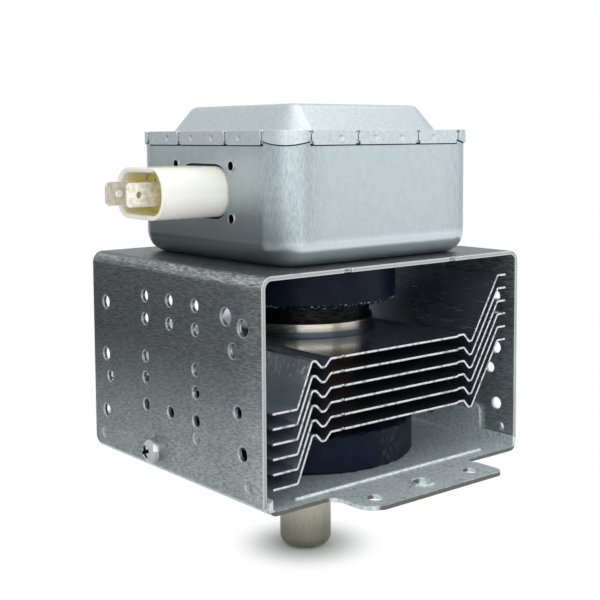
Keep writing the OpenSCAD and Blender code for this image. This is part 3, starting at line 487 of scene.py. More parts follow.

# Zinc-coated cold-rolled sheet: dull grey with fine dark streaks along the coil, and rubbed bright along
# its edges and round its punched holes. Painted shade darkens the outer left wall high up and the top face;
# painted light makes the left wall paler towards its front and the right wall paler; a painted highlight
# runs along the left top bend towards the front. The streaks are drawn about three times as coarse as they
# are, so that they show.
GALVANISED_SHEET = Finish(
    "galvanised_steel_rolled", "#a3acae", 0.36, metallic=0.7,
    relief=Grain((0.9, 1.6, 0.25), 0.3, 0.7, 5.0), relief_mm=0.02, layers=(
        # painted shade: the outer left wall darker high up
        Layer((LEFT_FACE, Zone(Axis.Z, 16, 42)), "#4f575b", 0.32, share=0.5),
        # painted light: the outer left wall paler towards its front
        Layer((LEFT_FACE, Zone(Axis.Y, -28, -40)), "#c3c9ca", 0.34, share=0.35),
        # painted shade: the top face darkened, for the shadow round the foot of the box
        Layer((Zone(Axis.Z, 58.9, 59.5),), "#2f3436", 0.42, share=0.8),
        # painted light: the right wall paler
        Layer((Zone(Axis.X, 45.5, 46.5),), "#ccd5d8", share=0.5),
        # painted highlight along the left wall's top bend, towards the front
        Layer(
            (Zone(Axis.Z, 55.5, 57.5), Zone(Axis.X, -45.0, -46.5), Zone(Axis.Y, 20, -25)),
            "#d5dbdb", 0.3, share=0.6,
        ),
        Layer((Grain((6.0, 9.0, 6.0)),), "#848d91", share=0.3),
        Layer((Grain((0.9, 1.6, 0.25), 0.38, 0.64, 5.0),), "#464d50", 0.44, share=0.55),
        Layer((Zone(Axis.Z, 18, 40), Grain((0.9, 3.0, 0.2), 0.4, 0.62, 5.0)), "#2c3235", 0.44, share=0.6),
        Layer((Facing(Axis.Y), Zone(Axis.Y, 41.0, 41.2, both=True)), "#a5a9a8", 0.45, share=0.9),
        Layer((WornEdge(0.6, 0.997, 0.96), Grain(2.0, 0.2, 0.4)), "#d3d9d9", 0.34, share=0.95),
    ),
)
# The same sheet as the plate, scuffed by the press: paler, with dull stains, dark sheared edges and rubs
GALVANISED_PLATE = Finish(
    "galvanised_steel_rolled_and_pierced", "#d5dfe1", 0.42, metallic=0.4,
    relief=Grain(0.9, 0.3, 0.7, 3.0), relief_mm=0.02, layers=(
        Layer((Grain(0.9, 0.42, 0.62, 3.0),), "#a3aeb1", 0.5, share=0.6),
        Layer((Grain(2.4, 0.6, 0.72, 5.0),), "#747b7c", 0.55, share=0.45),
        Layer((Facing(Axis.Y), Zone(Axis.Z, 1.3, 1.2)), "#5d5d58", 0.5),
        Layer((WornEdge(0.35, 0.99, 0.9),), "#6d716f", 0.5, share=0.5),
        Layer((WornEdge(0.3, 0.99, 0.9), Grain(1.6, 0.54, 0.6)), "#e6e9e7", 0.3),
    ),
)
# Zinc-plated wire, cold headed: a grey silver gloss, with rougher walls in the recess painted dark as shade
ZINC_SCREW = Finish(
    "zinc_plated_steel_headed", "#b4b7b8", 0.16, (
        Layer((Grain(1.6),), "#a1a4a6", 0.2, share=0.5),
        # painted shade on the walls of the cross recess
        Layer((Zone(Axis.X, 49.2, 49.4, both=True), Facing(Axis.X, 0.45, 0.3)), "#2b2d2e", 0.5),
    ),
)
# Sintered barium ferrite, ground: near-black with a blue cast, with pale grains where the upper ring's
# edges chipped, and a grainy, paler brownish band on the lower ring, a little towards +X from its middle
FERRITE_MAGNET = Finish(
    "barium_ferrite_sintered", "#0f1a2c", 0.38, metallic=0.0, ior=1.6, gloss=0.08,
    relief=Grain(0.6, 0.3, 0.7, 4.0), relief_mm=0.006, layers=(
        Layer((Grain(5.0),), "#0b121f", 0.46, share=0.7),
        Layer(
            (Zone(Axis.Z, 30, 35), WornEdge(0.7, 0.996, 0.95), Grain(0.8, 0.56, 0.62, 3.0)),
            "#a4a6a8",
        ),
        Layer(
            (
                Zone(Axis.Z, 20, 18), Zone(Axis.X, -2, 4), Zone(Axis.X, 18, 12),
                Grain((0.8, 0.8, 1.8), 0.5, 0.68, 5.0),
            ),
            "#6b655a", 0.6, share=0.28,
        ),
    ),
)
# Drawn copper: nickel-flashed and polished to a soft mirror at the end, browned by brazing below it
ANODE_COPPER = Finish(
    "copper_drawn_nickel_flashed", "#cfc9bb", 0.13, (
        Layer((Grain((20.0, 20.0, 0.5)),), "#b3a88f", 0.18, share=0.6),
        Layer((Zone(Axis.Z, 37.7, 37.4),), "#6b4a29", 0.34),
    ),
)
# Soft copper inside the vacuum: clean and salmon coloured
INNER_COPPER = Finish(
    "oxygen_free_copper_brazed", "#d19a78", 0.28, (Layer((Grain(3.0),), "#b67d5b", 0.36),),
)
# Turned soft iron: grey with fine rings
POLE_IRON = Finish(
    "soft_iron_turned", "#8b8b8c", 0.36, (Layer((Grain((12.0, 12.0, 0.4)),), "#6b6b6c", 0.46),),
)
# Deep-drawn steel, darkened by brazing: sooty and rough, with painted glints as pale specks round its top
SEAL_CUP = Finish(
    "drawn_steel_brazed", "#1f1f1e", 0.34,
    relief=Grain((1.2, 1.2, 0.7), 0.3, 0.7, 3.0), relief_mm=0.08, layers=(
        Layer((Grain((3.0, 3.0, 0.8)),), "#0f0f0f", 0.45, share=0.8),
        # painted glints: pale specks round the top
        Layer((Zone(Axis.Z, 44.8, 45.8), Grain(0.8, 0.58, 0.66, 3.0)), "#b5b3ad", 0.25, share=0.9),
    ),
)
# Drawn tungsten wire: dark grey, silky
TUNGSTEN = Finish("tungsten_wire_drawn", "#77777a", 0.4, (Layer((Grain(0.5),), "#5c5c60", 0.46),))
# Turned molybdenum: grey, silky
MOLYBDENUM = Finish(
    "molybdenum_turned", "#8f9094", 0.32, (Layer((Grain((3.0, 3.0, 0.5)),), "#74757a", 0.4),),
)
# Fired alumina, unglazed: pinkish white and matt
ALUMINA = Finish(
    "alumina_fired", "#eaded6", 0.55, (Layer((Grain(1.2),), "#e0cdc4", 0.6),),
    metallic=0.0, relief=Grain(0.5), ior=1.77,
)
# Nickel-plated pins: pale and warm
STEM_NICKEL = Finish("nickel_plate_on_steel", "#cfcabd", 0.22, (Layer((Grain(2.0),), "#aeaaa0", 0.3),))
# Drawn cap, nickel plated: warm grey satin with faint draw marks, and darker and a little rougher towards
# its end
ANTENNA_NICKEL = Finish(
    "nickel_plate_on_drawn_cap", "#b6b3a5", 0.24, (
        Layer((Grain((1.2, 1.2, 6.0)),), "#98958a", 0.3, share=0.3),
        Layer((Zone(Axis.Z, -15.0, -27.5),), "#777365", 0.32, share=0.55),
    ),
)
# Knitted wire of tinned copper: many small bright loops
BRAID = Finish("tinned_copper_wire_knitted", "#bdbab2", 0.28, (Layer((Grain(0.6),), "#8c8a84", 0.4),))
# Bright rolled aluminium strip: a soft mirror with faint roll lines and dull drawn collars, with painted
# shade round the collars, a left wing scratched by stacking, rougher, and paler with painted light, a right
# wing paler with painted light and with painted reflections in pale stripes, and sheared edges that shine
# in patches
FIN_ALUMINIUM = Finish(
    "aluminium_strip_bright_rolled", "#abb2bd", 0.16, metallic=0.95,
    relief=Grain((0.5, 16.0, 3.0)), relief_mm=0.004, layers=(
        Layer((Grain((0.5, 16.0, 3.0)),), "#8f97a3", 0.24, share=0.7),
        # painted shade round the collars, where the fins mirror the dark magnet and the fin above
        Layer((NearAxis(38.0, 26.0),), "#5a626d", 0.45, share=0.85),
        # painted light on the left wing, which is also rougher
        Layer((Zone(Axis.X, -30.5, -32.0),), "#c3ccd8", 0.42, share=0.8),
        Layer((NearAxis(21.3, 20.95),), "#4f565f", 0.3, share=0.9),
        Layer(
            (Zone(Axis.X, -31.0, -33.0), Zone(Axis.Z, 30, 34), Grain((0.9, 0.9, 4.0), 0.54, 0.64)),
            "#ffffff", 0.6, share=0.8,
        ),
        # painted light: the right wing paler
        Layer((RIGHT_WING,), "#b9c3d1", 0.3, share=0.6),
        # painted reflections: pale stripes on the right wing
        Layer((RIGHT_WING, Grain((9.0, 9.0, 0.4), 0.63, 0.7)), "#e9ecef", 0.4, share=0.7),
        Layer(FIN_ENDS, "#d3d6d8", 0.42),
        Layer((*FIN_ENDS, Grain(1.6, 0.52, 0.62)), "#84898d", 0.42, share=0.8),
    ),
)
# Deep-drawn zinc-coated steel: satin blue-grey, rubbed upwards at the corners by the draw, with bright rubs
# round its holes, a painted highlight round the bottom, painted shade on the left side towards the bottom
# and a painted shadow line under the lid's skirt
BOX_STEEL = Finish(
    "galvanised_steel_deep_drawn", "#abb6b9", 0.36, metallic=0.8,
    relief=Grain((1.5, 1.5, 3.0), 0.3, 0.7, 3.0), layers=(
        Layer((Grain((2.0, 2.0, 4.0), 0.36, 0.64, 3.0),), "#9faaae", 0.4, share=0.3),
        Layer((Grain(0.6, 0.45, 0.65, 3.0),), "#b8c2c7", share=0.35),
        Layer(
            (BoxCorner(20.0, 29.0), Grain((0.22, 0.22, 1.7), 0.38, 0.68, 5.0)),
            "#84919a", 0.42, share=0.6,
        ),
        # painted highlight round the bottom
        Layer((Zone(Axis.Z, 67.5, 63.5),), "#eaf3f5", 0.24, share=0.7),
        # painted shade: the left side darker towards the bottom
        Layer((Zone(Axis.X, -28.5, -35.7), Zone(Axis.Z, 82, 63)), "#465054", share=0.7),
        Layer((WornEdge(0.4, 0.996, 0.95), Grain(1.2, 0.3, 0.5)), "#d3d9db", 0.3, share=0.8),
        # painted shadow line under the lid's skirt
        Layer((SkirtShadowLine(),), "#1f2426", 0.6),
    ),
)
# Pressed zinc-coated steel: pale, with a fine speckle, rubbed bright along its edges and crimps
LID_STEEL = Finish(
    "galvanised_steel_pressed", "#bdc6ca", 0.4, metallic=0.75,
    relief=Grain(0.6, 0.3, 0.7, 3.0), relief_mm=0.008, layers=(
        Layer((Grain(0.6, 0.4, 0.64, 3.0),), "#a9b4b9", 0.46, share=0.6),
        Layer((WornEdge(0.35, 0.99, 0.9), Grain(1.2, 0.3, 0.5)), "#dde2e4", 0.3, share=0.7),
    ),
)
# Moulded thermoplastic: glossy warm white that lets some light through, with a film of yellow resin on the
# wall inside its mouth
WHITE_PLASTIC = Finish(
    "polyester_moulded", "#fcfaf1", 0.2, metallic=0.0, ior=1.5, scatter_mm=0.6, layers=(
        Layer((Grain(14.0),), "#f6f3e7", 0.24, share=0.6),
        Layer(
            (SleeveInside(), Zone(Axis.X, -55.9, -51.0), Grain(3.0, 0.2, 0.45)),
            "#f9eeaa", 0.2, share=0.9,
        ),
    ),
)
# Cast epoxy resin: honey yellow and glossy
EPOXY = Finish(
    "epoxy_resin_cast", "#f8e99a", 0.18, (Layer((Grain(3.0),), "#eed97c", 0.24),),
    metallic=0.0, relief=Grain(3.0), relief_mm=0.03, ior=1.55, scatter_mm=1.2,
)
# Zinc-coated earth plate with rolled eyelets: near-black as painted shade inside the box, and pale bright
# zinc on the rims that stand out
EARTH_STEEL = Finish(
    # painted shade: the plate near-black inside the box
    "zinc_coated_steel_stamped", "#3a3e40", 0.42, (
        Layer((Grain(1.5),), "#2b2f31", 0.5, share=0.7),
        Layer((Zone(Axis.X, -35.6, -35.8),), "#c3c7c8", 0.28),
    ),
)
# Fired barium titanate: tan and matt
CAPACITOR_CERAMIC = Finish(
    "barium_titanate_fired", "#a88d6c", 0.5, (Layer((Grain(1.0),), "#94795a", 0.56),),
    metallic=0.0, ior=1.6,
)
# Tinned brass strip, stamped: pale warm silver, stained grey in patches, with scratches and dull edges
TINNED_BRASS = Finish(
    "tinned_brass_stamped", "#f4f2e6", 0.3, metallic=0.5,
    relief=Grain((5.0, 0.5, 0.5)), relief_mm=0.006, layers=(
        Layer((Grain(1.3, 0.4, 0.7, 5.0),), "#a5a296", 0.42, share=0.5),
        Layer((Grain((5.0, 0.5, 0.5), 0.5, 0.7),), "#d5d1be", 0.36, share=0.4),
        Layer((WornEdge(0.16),), "#7d796a", 0.4, share=0.6),
    ),
)
# Enamelled copper wire: deep copper under a clear gloss
CHOKE_COPPER = Finish("copper_wire_enamelled", "#b5713f", 0.22, (Layer((Grain(2.0),), "#8f5228", 0.3),))
# Sintered manganese-zinc ferrite: dark grey and matt
CHOKE_FERRITE = Finish(
    "manganese_zinc_ferrite_sintered", "#3a3b3e", 0.6, (Layer((Grain(0.8),), "#2c2d30", 0.66),),
    metallic=0.0, relief=Grain(0.5), relief_mm=0.02, ior=1.6,
)
# Matt emulsion paint on the studio's floor: pale and even
FLOOR_PAINT = Finish("studio_floor_matt", "#f4f4f3", 0.9, metallic=0.0)
# Wool felt on the studio's card: black, without any sheen
CARD_FELT = Finish("studio_card_felt", "#101213", 0.95, metallic=0.0)


def only(piece: Piece) -> None:
    """Make one object the only selected one and the active one.

    Args:
        piece: Object to select.
    """
    bpy.ops.object.select_all(action="DESELECT")
    piece.select_set(True)
    bpy.context.view_layer.objects.active = piece


def pick(piece: Piece, element: Element, test: Callable[[Vector, Vector], bool]) -> None:
    """Go to edit mode with the edges or faces selected that pass a test.

    Args:
        piece: Mesh object to edit.
        element: Whether edges or faces are tested.
        test: Gets an element's middle in millimetres, and a face's normal or an edge's direction.
    """
    only(piece)
    mesh = piece.data
    for parts in (mesh.vertices, mesh.edges, mesh.polygons):
        parts.foreach_set("select", [False] * len(parts))
    if element is Element.FACE:
        for face in mesh.polygons:
            face.select = test(face.center / MM, face.normal)
    else:
        for edge in mesh.edges:
            start, end = (mesh.vertices[i].co for i in edge.vertices)
            edge.select = test((start + end) / (2 * MM), (end - start).normalized())
    bpy.context.tool_settings.mesh_select_mode = (False, element is Element.EDGE, element is Element.FACE)
    bpy.ops.object.mode_set(mode="EDIT")


def leave_edit() -> None:
    """Go back to object mode."""
    bpy.ops.object.mode_set(mode="OBJECT")


def apply_modifier(piece: Piece, kind: str, settings: dict[str, object]) -> None:
    """Add a modifier and apply it.

    Args:
        piece: Object that gets it.
        kind: Blender's name for the modifier type.
        settings: Its properties.
    """
    only(piece)
    modifier = piece.modifiers.new(kind.lower(), kind)
    for key, value in settings.items():
        setattr(modifier, key, value)
    bpy.ops.object.modifier_apply(modifier=modifier.name)


def smooth(piece: Piece, angle: float = 35.0, keep_flat: bool = False) -> None:
    """Shade a piece smoothly over edges that turn less than an angle.

    Args:
        piece: Mesh object.
        angle: The angle.
        keep_flat: Whether large faces stay flat beside their rounded edges.
    """
    only(piece)
    bpy.ops.object.shade_smooth_by_angle(angle=math.radians(angle))
    if keep_flat:
        apply_modifier(piece, "WEIGHTED_NORMAL", {"weight": 100, "keep_sharp": True})


def copy_at(piece: Piece, place: Matrix, name: str) -> Piece:
    """Copy a piece with a mesh of its own.

    Args:
        piece: Piece to copy.
        place: Where the copy's mesh goes, in metres.
        name: Name of the copy.

    Returns:
        The new piece.
    """
    mesh = piece.data.copy()
    mesh.transform(place)
    copy = bpy.data.objects.new(name, mesh)
    bpy.context.scene.collection.objects.link(copy)
    return copy


def join(pieces: list[Piece], name: str) -> Piece:
    """Join pieces into the first one and name it.

    Args:
        pieces: Pieces to join.
        name: Name of the joined piece.

    Returns:
        The joined piece.
    """
    only(pieces[0])
    for piece in pieces[1:]:
        piece.select_set(True)
    bpy.ops.object.join()
    pieces[0].name = name
    pieces[0].data.name = name
    return pieces[0]


@dataclass
class SubAssembly(ABC):
    """Group of pieces that are built and dressed together."""

    nodes: dict[str, Piece]
    merge_within: float = 0.001
    flat_angle: float = 0.5
    sharp_angle: float = 40.0
    round_steps: int = 2

    @abstractmethod
    def build(self) -> None:
        """Build the group's own pieces and dress all its pieces."""

    def paint(self, piece: Piece, finish: Finish) -> None:
        """Put one finish on a whole piece and report it.

        Args:
            piece: CAD node or modelled piece.
            finish: Finish that covers it.
        """
        piece.data.materials.clear()
        piece.data.materials.append(finish.material())
        log.info("%s in %s", piece.name, finish.name)

    def dress(self, finish: Finish, *names: str) -> None:
        """Put a finish on CAD nodes that keep their own meshes."""
        for name in names:
            self.paint(self.nodes[name], finish)

    def set_in(self, piece: Piece, finish: Finish, slot: str, *names: str) -> None:
        """Put a modelled piece in the place of CAD nodes.

        Args:
            piece: The modelled piece.
            finish: Finish that covers it.
            slot: Material slot; not used.
            names: CAD nodes that it stands for.
        """
        self.paint(piece, finish)
        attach(piece, BODY)
        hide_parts(*names)

    def merged(self, node: str, name: str) -> Piece:
        """Copy a CAD node as one closed mesh with whole faces.

        Args:
            node: CAD node to copy.
            name: Name of the new piece.

        Returns:
            The new piece.
        """
        piece = copy_at(self.nodes[node], Matrix.Identity(4), name)
        only(piece)
        bpy.ops.mesh.customdata_custom_splitnormals_clear()
        bpy.ops.object.mode_set(mode="EDIT")
        bpy.ops.mesh.select_all(action="SELECT")
        bpy.ops.mesh.remove_doubles(threshold=self.merge_within * MM)
        bpy.ops.mesh.dissolve_limited(angle_limit=math.radians(self.flat_angle))
        leave_edit()
        return piece

    def softened(self, node: str, name: str, width: float) -> Piece:
        """Copy a CAD node with its sharp edges rounded.

        Args:
            node: CAD node to copy.
            name: Name of the new piece.
            width: How far the rounding reaches from an edge.

        Returns:
            The new piece.
        """
        piece = self.merged(node, name)
        apply_modifier(piece, "BEVEL", {
            "width": width * MM, "segments": self.round_steps, "limit_method": "ANGLE",
            "angle_limit": math.radians(self.sharp_angle), "use_clamp_overlap": False,
        })
        smooth(piece, keep_flat=True)
        return piece


@dataclass
class Yoke(SubAssembly):
    """Folded yoke, its mounting plate and the two screws that hold them together."""

    edge_round: float = 0.15
    wall_x: float = 47.5
    screw_y: float = 8.0
    screw_z: float = 6.5
    head_d: float = 6.9
    head_h: float = 3.59
    head_sides: int = 48
    crown_h: float = 1.8
    crown_steps: int = 7
    shank_d: float = 3.4
    core_d: float = 2.6
    shank_l: float = 2.5
    threads: int = 2
    recess_l: float = 3.5
    recess_w: float = 1.05
    recess_depth: float = 1.7
    recess_turn: float = 20.0

    def build(self) -> None:
        """Round the sheets' edges, model the screws and dress them all."""
        sheet = self.softened("yoke_frame", "yoke_sheet", self.edge_round)
        self.set_in(sheet, GALVANISED_SHEET, "galvanised_steel", "yoke_frame")
        plate = self.softened("mounting_plate", "plate_sheet", self.edge_round)
        self.set_in(plate, GALVANISED_PLATE, "galvanised_steel", "mounting_plate")
        self.set_in(self.screw_pair(), ZINC_SCREW, "zinc_screw", "yoke_screws")

    def screw_pair(self) -> Piece:
        """Model one screw and set a copy in each wall.

        Returns:
            Both screws as one piece.
        """
        screw = self.crowned_head()
        self.thread_shank(screw)
        self.cut_recess(screw)
        smooth(screw, angle=40)
        outwards = Matrix.Rotation(math.radians(-90), 4, "Y")
        left = Matrix.Translation(Vector((-self.wall_x, self.screw_y, self.screw_z)) * MM) @ outwards
        pair = [
            copy_at(screw, Matrix.Rotation(math.radians(turn), 4, "Z") @ left, f"screw_{turn}")
            for turn in (0, 180)
        ]
        bpy.data.objects.remove(screw)
        return join(pair, "pan_head_screws")

    def crowned_head(self) -> Piece:
        """Model the head, with its underside at the origin and its crown towards +Z.

        Returns:
            The head.
        """
        bpy.ops.object.select_all(action="DESELECT")
        rim = self.head_h - self.crown_h
        bpy.ops.mesh.primitive_cylinder_add(
            vertices=self.head_sides, radius=self.head_d / 2 * MM, depth=rim * MM,
            location=(0, 0, rim / 2 * MM),
        )
        screw = bpy.context.object
        bpy.ops.object.transform_apply(location=True)
        ball_r = (self.head_d ** 2 / 4 + self.crown_h ** 2) / (2 * self.crown_h)
        full = math.asin(self.head_d / 2 / ball_r)
        pick(screw, Element.FACE, lambda middle, normal: normal.z > ALONG)
        for step in range(1, self.crown_steps):
            before, after = (full * (1 - s / self.crown_steps) for s in (step - 1, step))
            rise = ball_r * (math.cos(after) - math.cos(before)) * MM
            share = math.sin(after) / math.sin(before)
            bpy.ops.mesh.extrude_region_move(TRANSFORM_OT_translate={"value": (0, 0, rise)})
            bpy.ops.transform.resize(value=(share, share, 1))
        leave_edit()
        return screw

    def thread_shank(self, screw: Piece) -> None:
        """Draw the shank out of the head's underside, with the crests and roots of its thread.

        Args:
            screw: The screw's head.
        """
        half_pitch = self.shank_l / (2 * self.threads + 1) * MM
        crest = self.shank_d / self.core_d
        pick(screw, Element.FACE, lambda middle, normal: normal.z < -ALONG)
        bpy.ops.mesh.inset(thickness=(self.head_d - self.core_d) / 2 * MM)
        bpy.ops.mesh.extrude_region_move(TRANSFORM_OT_translate={"value": (0, 0, -half_pitch)})
        for share in (crest, 1 / crest) * self.threads:
            bpy.ops.mesh.extrude_region_move(TRANSFORM_OT_translate={"value": (0, 0, -half_pitch)})
            bpy.ops.transform.resize(value=(share, share, 1))
        leave_edit()

    def cut_recess(self, screw: Piece) -> None:
        """Cut the cross recess into the crown.

        Args:
            screw: Screw with its crown towards +Z.
        """
        bars = []
        for turn in (self.recess_turn, self.recess_turn + 90):
            bpy.ops.object.select_all(action="DESELECT")
            bpy.ops.mesh.primitive_cube_add(
                size=MM, location=(0, 0, self.head_h * MM), rotation=(0, 0, math.radians(turn)),
                scale=(self.recess_l, self.recess_w, 2 * self.recess_depth),
            )
            bars.append(bpy.context.object)
            bpy.ops.object.transform_apply(location=True, rotation=True, scale=True)
        for bar in bars:
            apply_modifier(screw, "BOOLEAN", {"operation": "DIFFERENCE", "object": bar, "solver": "EXACT"})
            bpy.data.objects.remove(bar)


@dataclass
class MagnetPair(SubAssembly):
    """The two ferrite rings, with ground faces and chipped edges."""

    bore_r: float = 10.3
    sides: int = 180
    chamfer: float = 0.8
    chamfer_steps: int = 4
    chip_depth: float = 0.5
    chip_size: float = 1.6
    chip_contrast: float = 3.0
    chip_amount: float = 0.7
    chip_margin: float = 0.02

    def build(self) -> None:
        """Model and dress both rings."""
        for node in ("upper_magnet", "lower_magnet"):
            self.set_in(self.ring(node), FERRITE_MAGNET, "ferrite_magnet", node)

    def ring(self, node: str) -> Piece:
        """Model one ring in the space of its CAD node.

        Args:
            node: CAD node of the magnet.

        Returns:
            The finished ring.
        """
        low, high = (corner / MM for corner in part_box(node))
        outer = high.x
        bpy.ops.object.select_all(action="DESELECT")
        bpy.ops.mesh.primitive_cylinder_add(
            vertices=self.sides, radius=outer * MM, depth=(high.z - low.z) * MM,
            location=(0, 0, (low.z + high.z) / 2 * MM),
        )
        ring = bpy.context.object
        ring.name = ring.data.name = f"{node}_chipped"
        bpy.ops.object.transform_apply(location=True)
        pick(ring, Element.FACE, lambda middle, normal: abs(normal.z) > ALONG)
        bpy.ops.mesh.inset(thickness=(outer - self.bore_r) * MM)
        bpy.ops.mesh.bridge_edge_loops()
        leave_edit()
        rim_r = outer - NEAR
        pick(ring, Element.EDGE, lambda middle, way: middle.xy.length > rim_r and abs(way.z) < 1 - ALONG)
        bpy.ops.mesh.bevel(offset=self.chamfer * MM, segments=self.chamfer_steps)
        leave_edit()
        self.chip(ring, low, high)
        smooth(ring, angle=40, keep_flat=True)
        return ring

    def chip(self, ring: Piece, low: Vector, high: Vector) -> None:
        """Break small chips out of the outer edges.

        Args:
            ring: Ring with bevelled edges.
            low: Its lowest corner.
            high: Its highest corner.
        """
        rim = ring.vertex_groups.new(name="rim")
        for vertex in ring.data.vertices:
            place = vertex.co / MM
            level, depth = min(place.z - low.z, high.z - place.z), high.x - place.xy.length
            inside = all(self.chip_margin < gap < self.chamfer - self.chip_margin for gap in (level, depth))
            rim.add([vertex.index], 1.0 if inside else 0.0, "REPLACE")
        noise = bpy.data.textures.new("ferrite_chips", "CLOUDS")
        noise.noise_scale = self.chip_size * MM
        noise.contrast = self.chip_contrast
        noise.intensity = self.chip_amount
        apply_modifier(ring, "DISPLACE", {
            "texture": noise, "vertex_group": "rim", "mid_level": 0.0, "strength": -self.chip_depth * MM,
        })
        ring.vertex_groups.clear()


@dataclass
class Tube(SubAssembly):
    """Sealed tube: anode, resonator, cathode and its foot."""

    def build(self) -> None:
        """Dress the tube's pieces."""
        self.dress(ANODE_COPPER, "anode_cylinder")
        self.dress(INNER_COPPER, "anode_vanes", "strap_rings")
        self.dress(POLE_IRON, "upper_pole_piece", "lower_pole_piece")
        self.dress(SEAL_CUP, "cathode_seal_cup")
        self.dress(TUNGSTEN, "filament")
        self.dress(MOLYBDENUM, "upper_end_hat", "lower_end_hat", "centre_lead", "side_lead")
        self.dress(ALUMINA, "stem_ceramic")
        self.dress(STEM_NICKEL, "stem_terminals")


@dataclass
class OutputEnd(SubAssembly):
    """Antenna side of the tube, with the knitted gasket round its neck."""

    gasket_inner_r: float = 9.55
    wire_d: float = 0.5
    wire_sides: int = 6
    loops: int = 46
    loop_steps: int = 20
    lean: float = 34.0
    core_steps: int = 96
    core_sides: int = 16
    core_groove: float = 0.1
    core_flank: float = 0.5

    def build(self) -> None:
        """Knit the gasket and dress the output end."""
        self.dress(SEAL_CUP, "antenna_seal_cup")
        self.dress(INNER_COPPER, "antenna_lead", "exhaust_tube")
        self.dress(ALUMINA, "antenna_ceramic")
        self.dress(ANTENNA_NICKEL, "antenna_cap")
        self.set_in(self.knitted_gasket(), BRAID, "braid", "rf_gasket")

    def knitted_gasket(self) -> Piece:
        """Model one loop of wire and lay leaning copies round a core of wire.

        Returns:
            The gasket.
        """
        low, high = (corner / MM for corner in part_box("rf_gasket"))
        middle = Vector(((high.x + self.gasket_inner_r) / 2, 0, (low.z + high.z) / 2)) * MM
        half_w = (high.x - self.gasket_inner_r - self.wire_d) / 2
        half_h = (high.z - low.z - self.wire_d) / 2 / math.cos(math.radians(self.lean))
        bpy.ops.object.select_all(action="DESELECT")
        bpy.ops.mesh.primitive_torus_add(
            major_radius=half_w * MM, minor_radius=self.wire_d / 2 * MM,
            major_segments=self.loop_steps, minor_segments=self.wire_sides,
        )
        loop = bpy.context.object
        bpy.ops.object.mode_set(mode="EDIT")
        bpy.ops.mesh.select_all(action="SELECT")
        bpy.ops.transform.resize(value=(1, half_h / half_w, 1))
        leave_edit()
        pieces = [self.wire_core(middle, half_h)]
        for number in range(2 * self.loops):
            side = 1 if number % 2 else -1
            upright = Matrix.Rotation(math.radians(90 + side * self.lean), 4, "X")
            turn = Matrix.Rotation(math.pi * number / self.loops, 4, "Z")
            pieces.append(copy_at(loop, turn @ Matrix.Translation(middle) @ upright, f"loop_{number}"))
        bpy.data.objects.remove(loop)
        gasket = join(pieces, "knitted_gasket")
        smooth(gasket, angle=60)
        return gasket

    def wire_core(self, middle: Vector, half_h: float) -> Piece:
        """Model the bundle of wire inside the loops.

        Args:
            middle: Middle of the gasket's section, in metres.
            half_h: Half the height of a loop.

        Returns:
            The core.
        """
        bpy.ops.object.select_all(action="DESELECT")
        bpy.ops.mesh.primitive_torus_add(
            major_radius=middle.x, minor_radius=(half_h - self.wire_d) * MM,
            major_segments=self.core_steps, minor_segments=self.core_sides,
        )
        core = bpy.context.object
        core.data.transform(Matrix.Translation((0, 0, middle.z)))
        pick(core, Element.FACE, lambda place, normal: abs(normal.z) < self.core_flank)
        bpy.ops.mesh.inset(thickness=self.core_groove * MM, depth=self.core_groove * MM)
        leave_edit()
        return core


@dataclass
class FinStack(SubAssembly):
    """Formed cooling fins, all alike, pressed on the anode."""

    count: int = 6
    edge_round: float = 0.1

    def build(self) -> None:
        """Round one fin's edges and copy it down the stack."""
        top = self.softened("fin_1", "formed_fin_1", self.edge_round)
        fins = [top]
        for number in range(2, self.count + 1):
            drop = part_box(f"fin_{number}")[0].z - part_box("fin_1")[0].z
            fins.append(copy_at(top, Matrix.Translation((0, 0, drop)), f"formed_fin_{number}"))
        for number, fin in enumerate(fins, 1):
            self.set_in(fin, FIN_ALUMINIUM, "fin_aluminium", f"fin_{number}")


@dataclass
class FilterBox(SubAssembly):
    """Drawn box and its crimped lid."""

    skirt_round: float = 0.1

    def build(self) -> None:
        """Round the edges of the lid's skirt and dress the box and the lid."""
        self.dress(BOX_STEEL, "filter_box")
        lid = self.softened("filter_lid", "pressed_lid", self.skirt_round)
        self.set_in(lid, LID_STEEL, "lid_steel", "filter_lid")


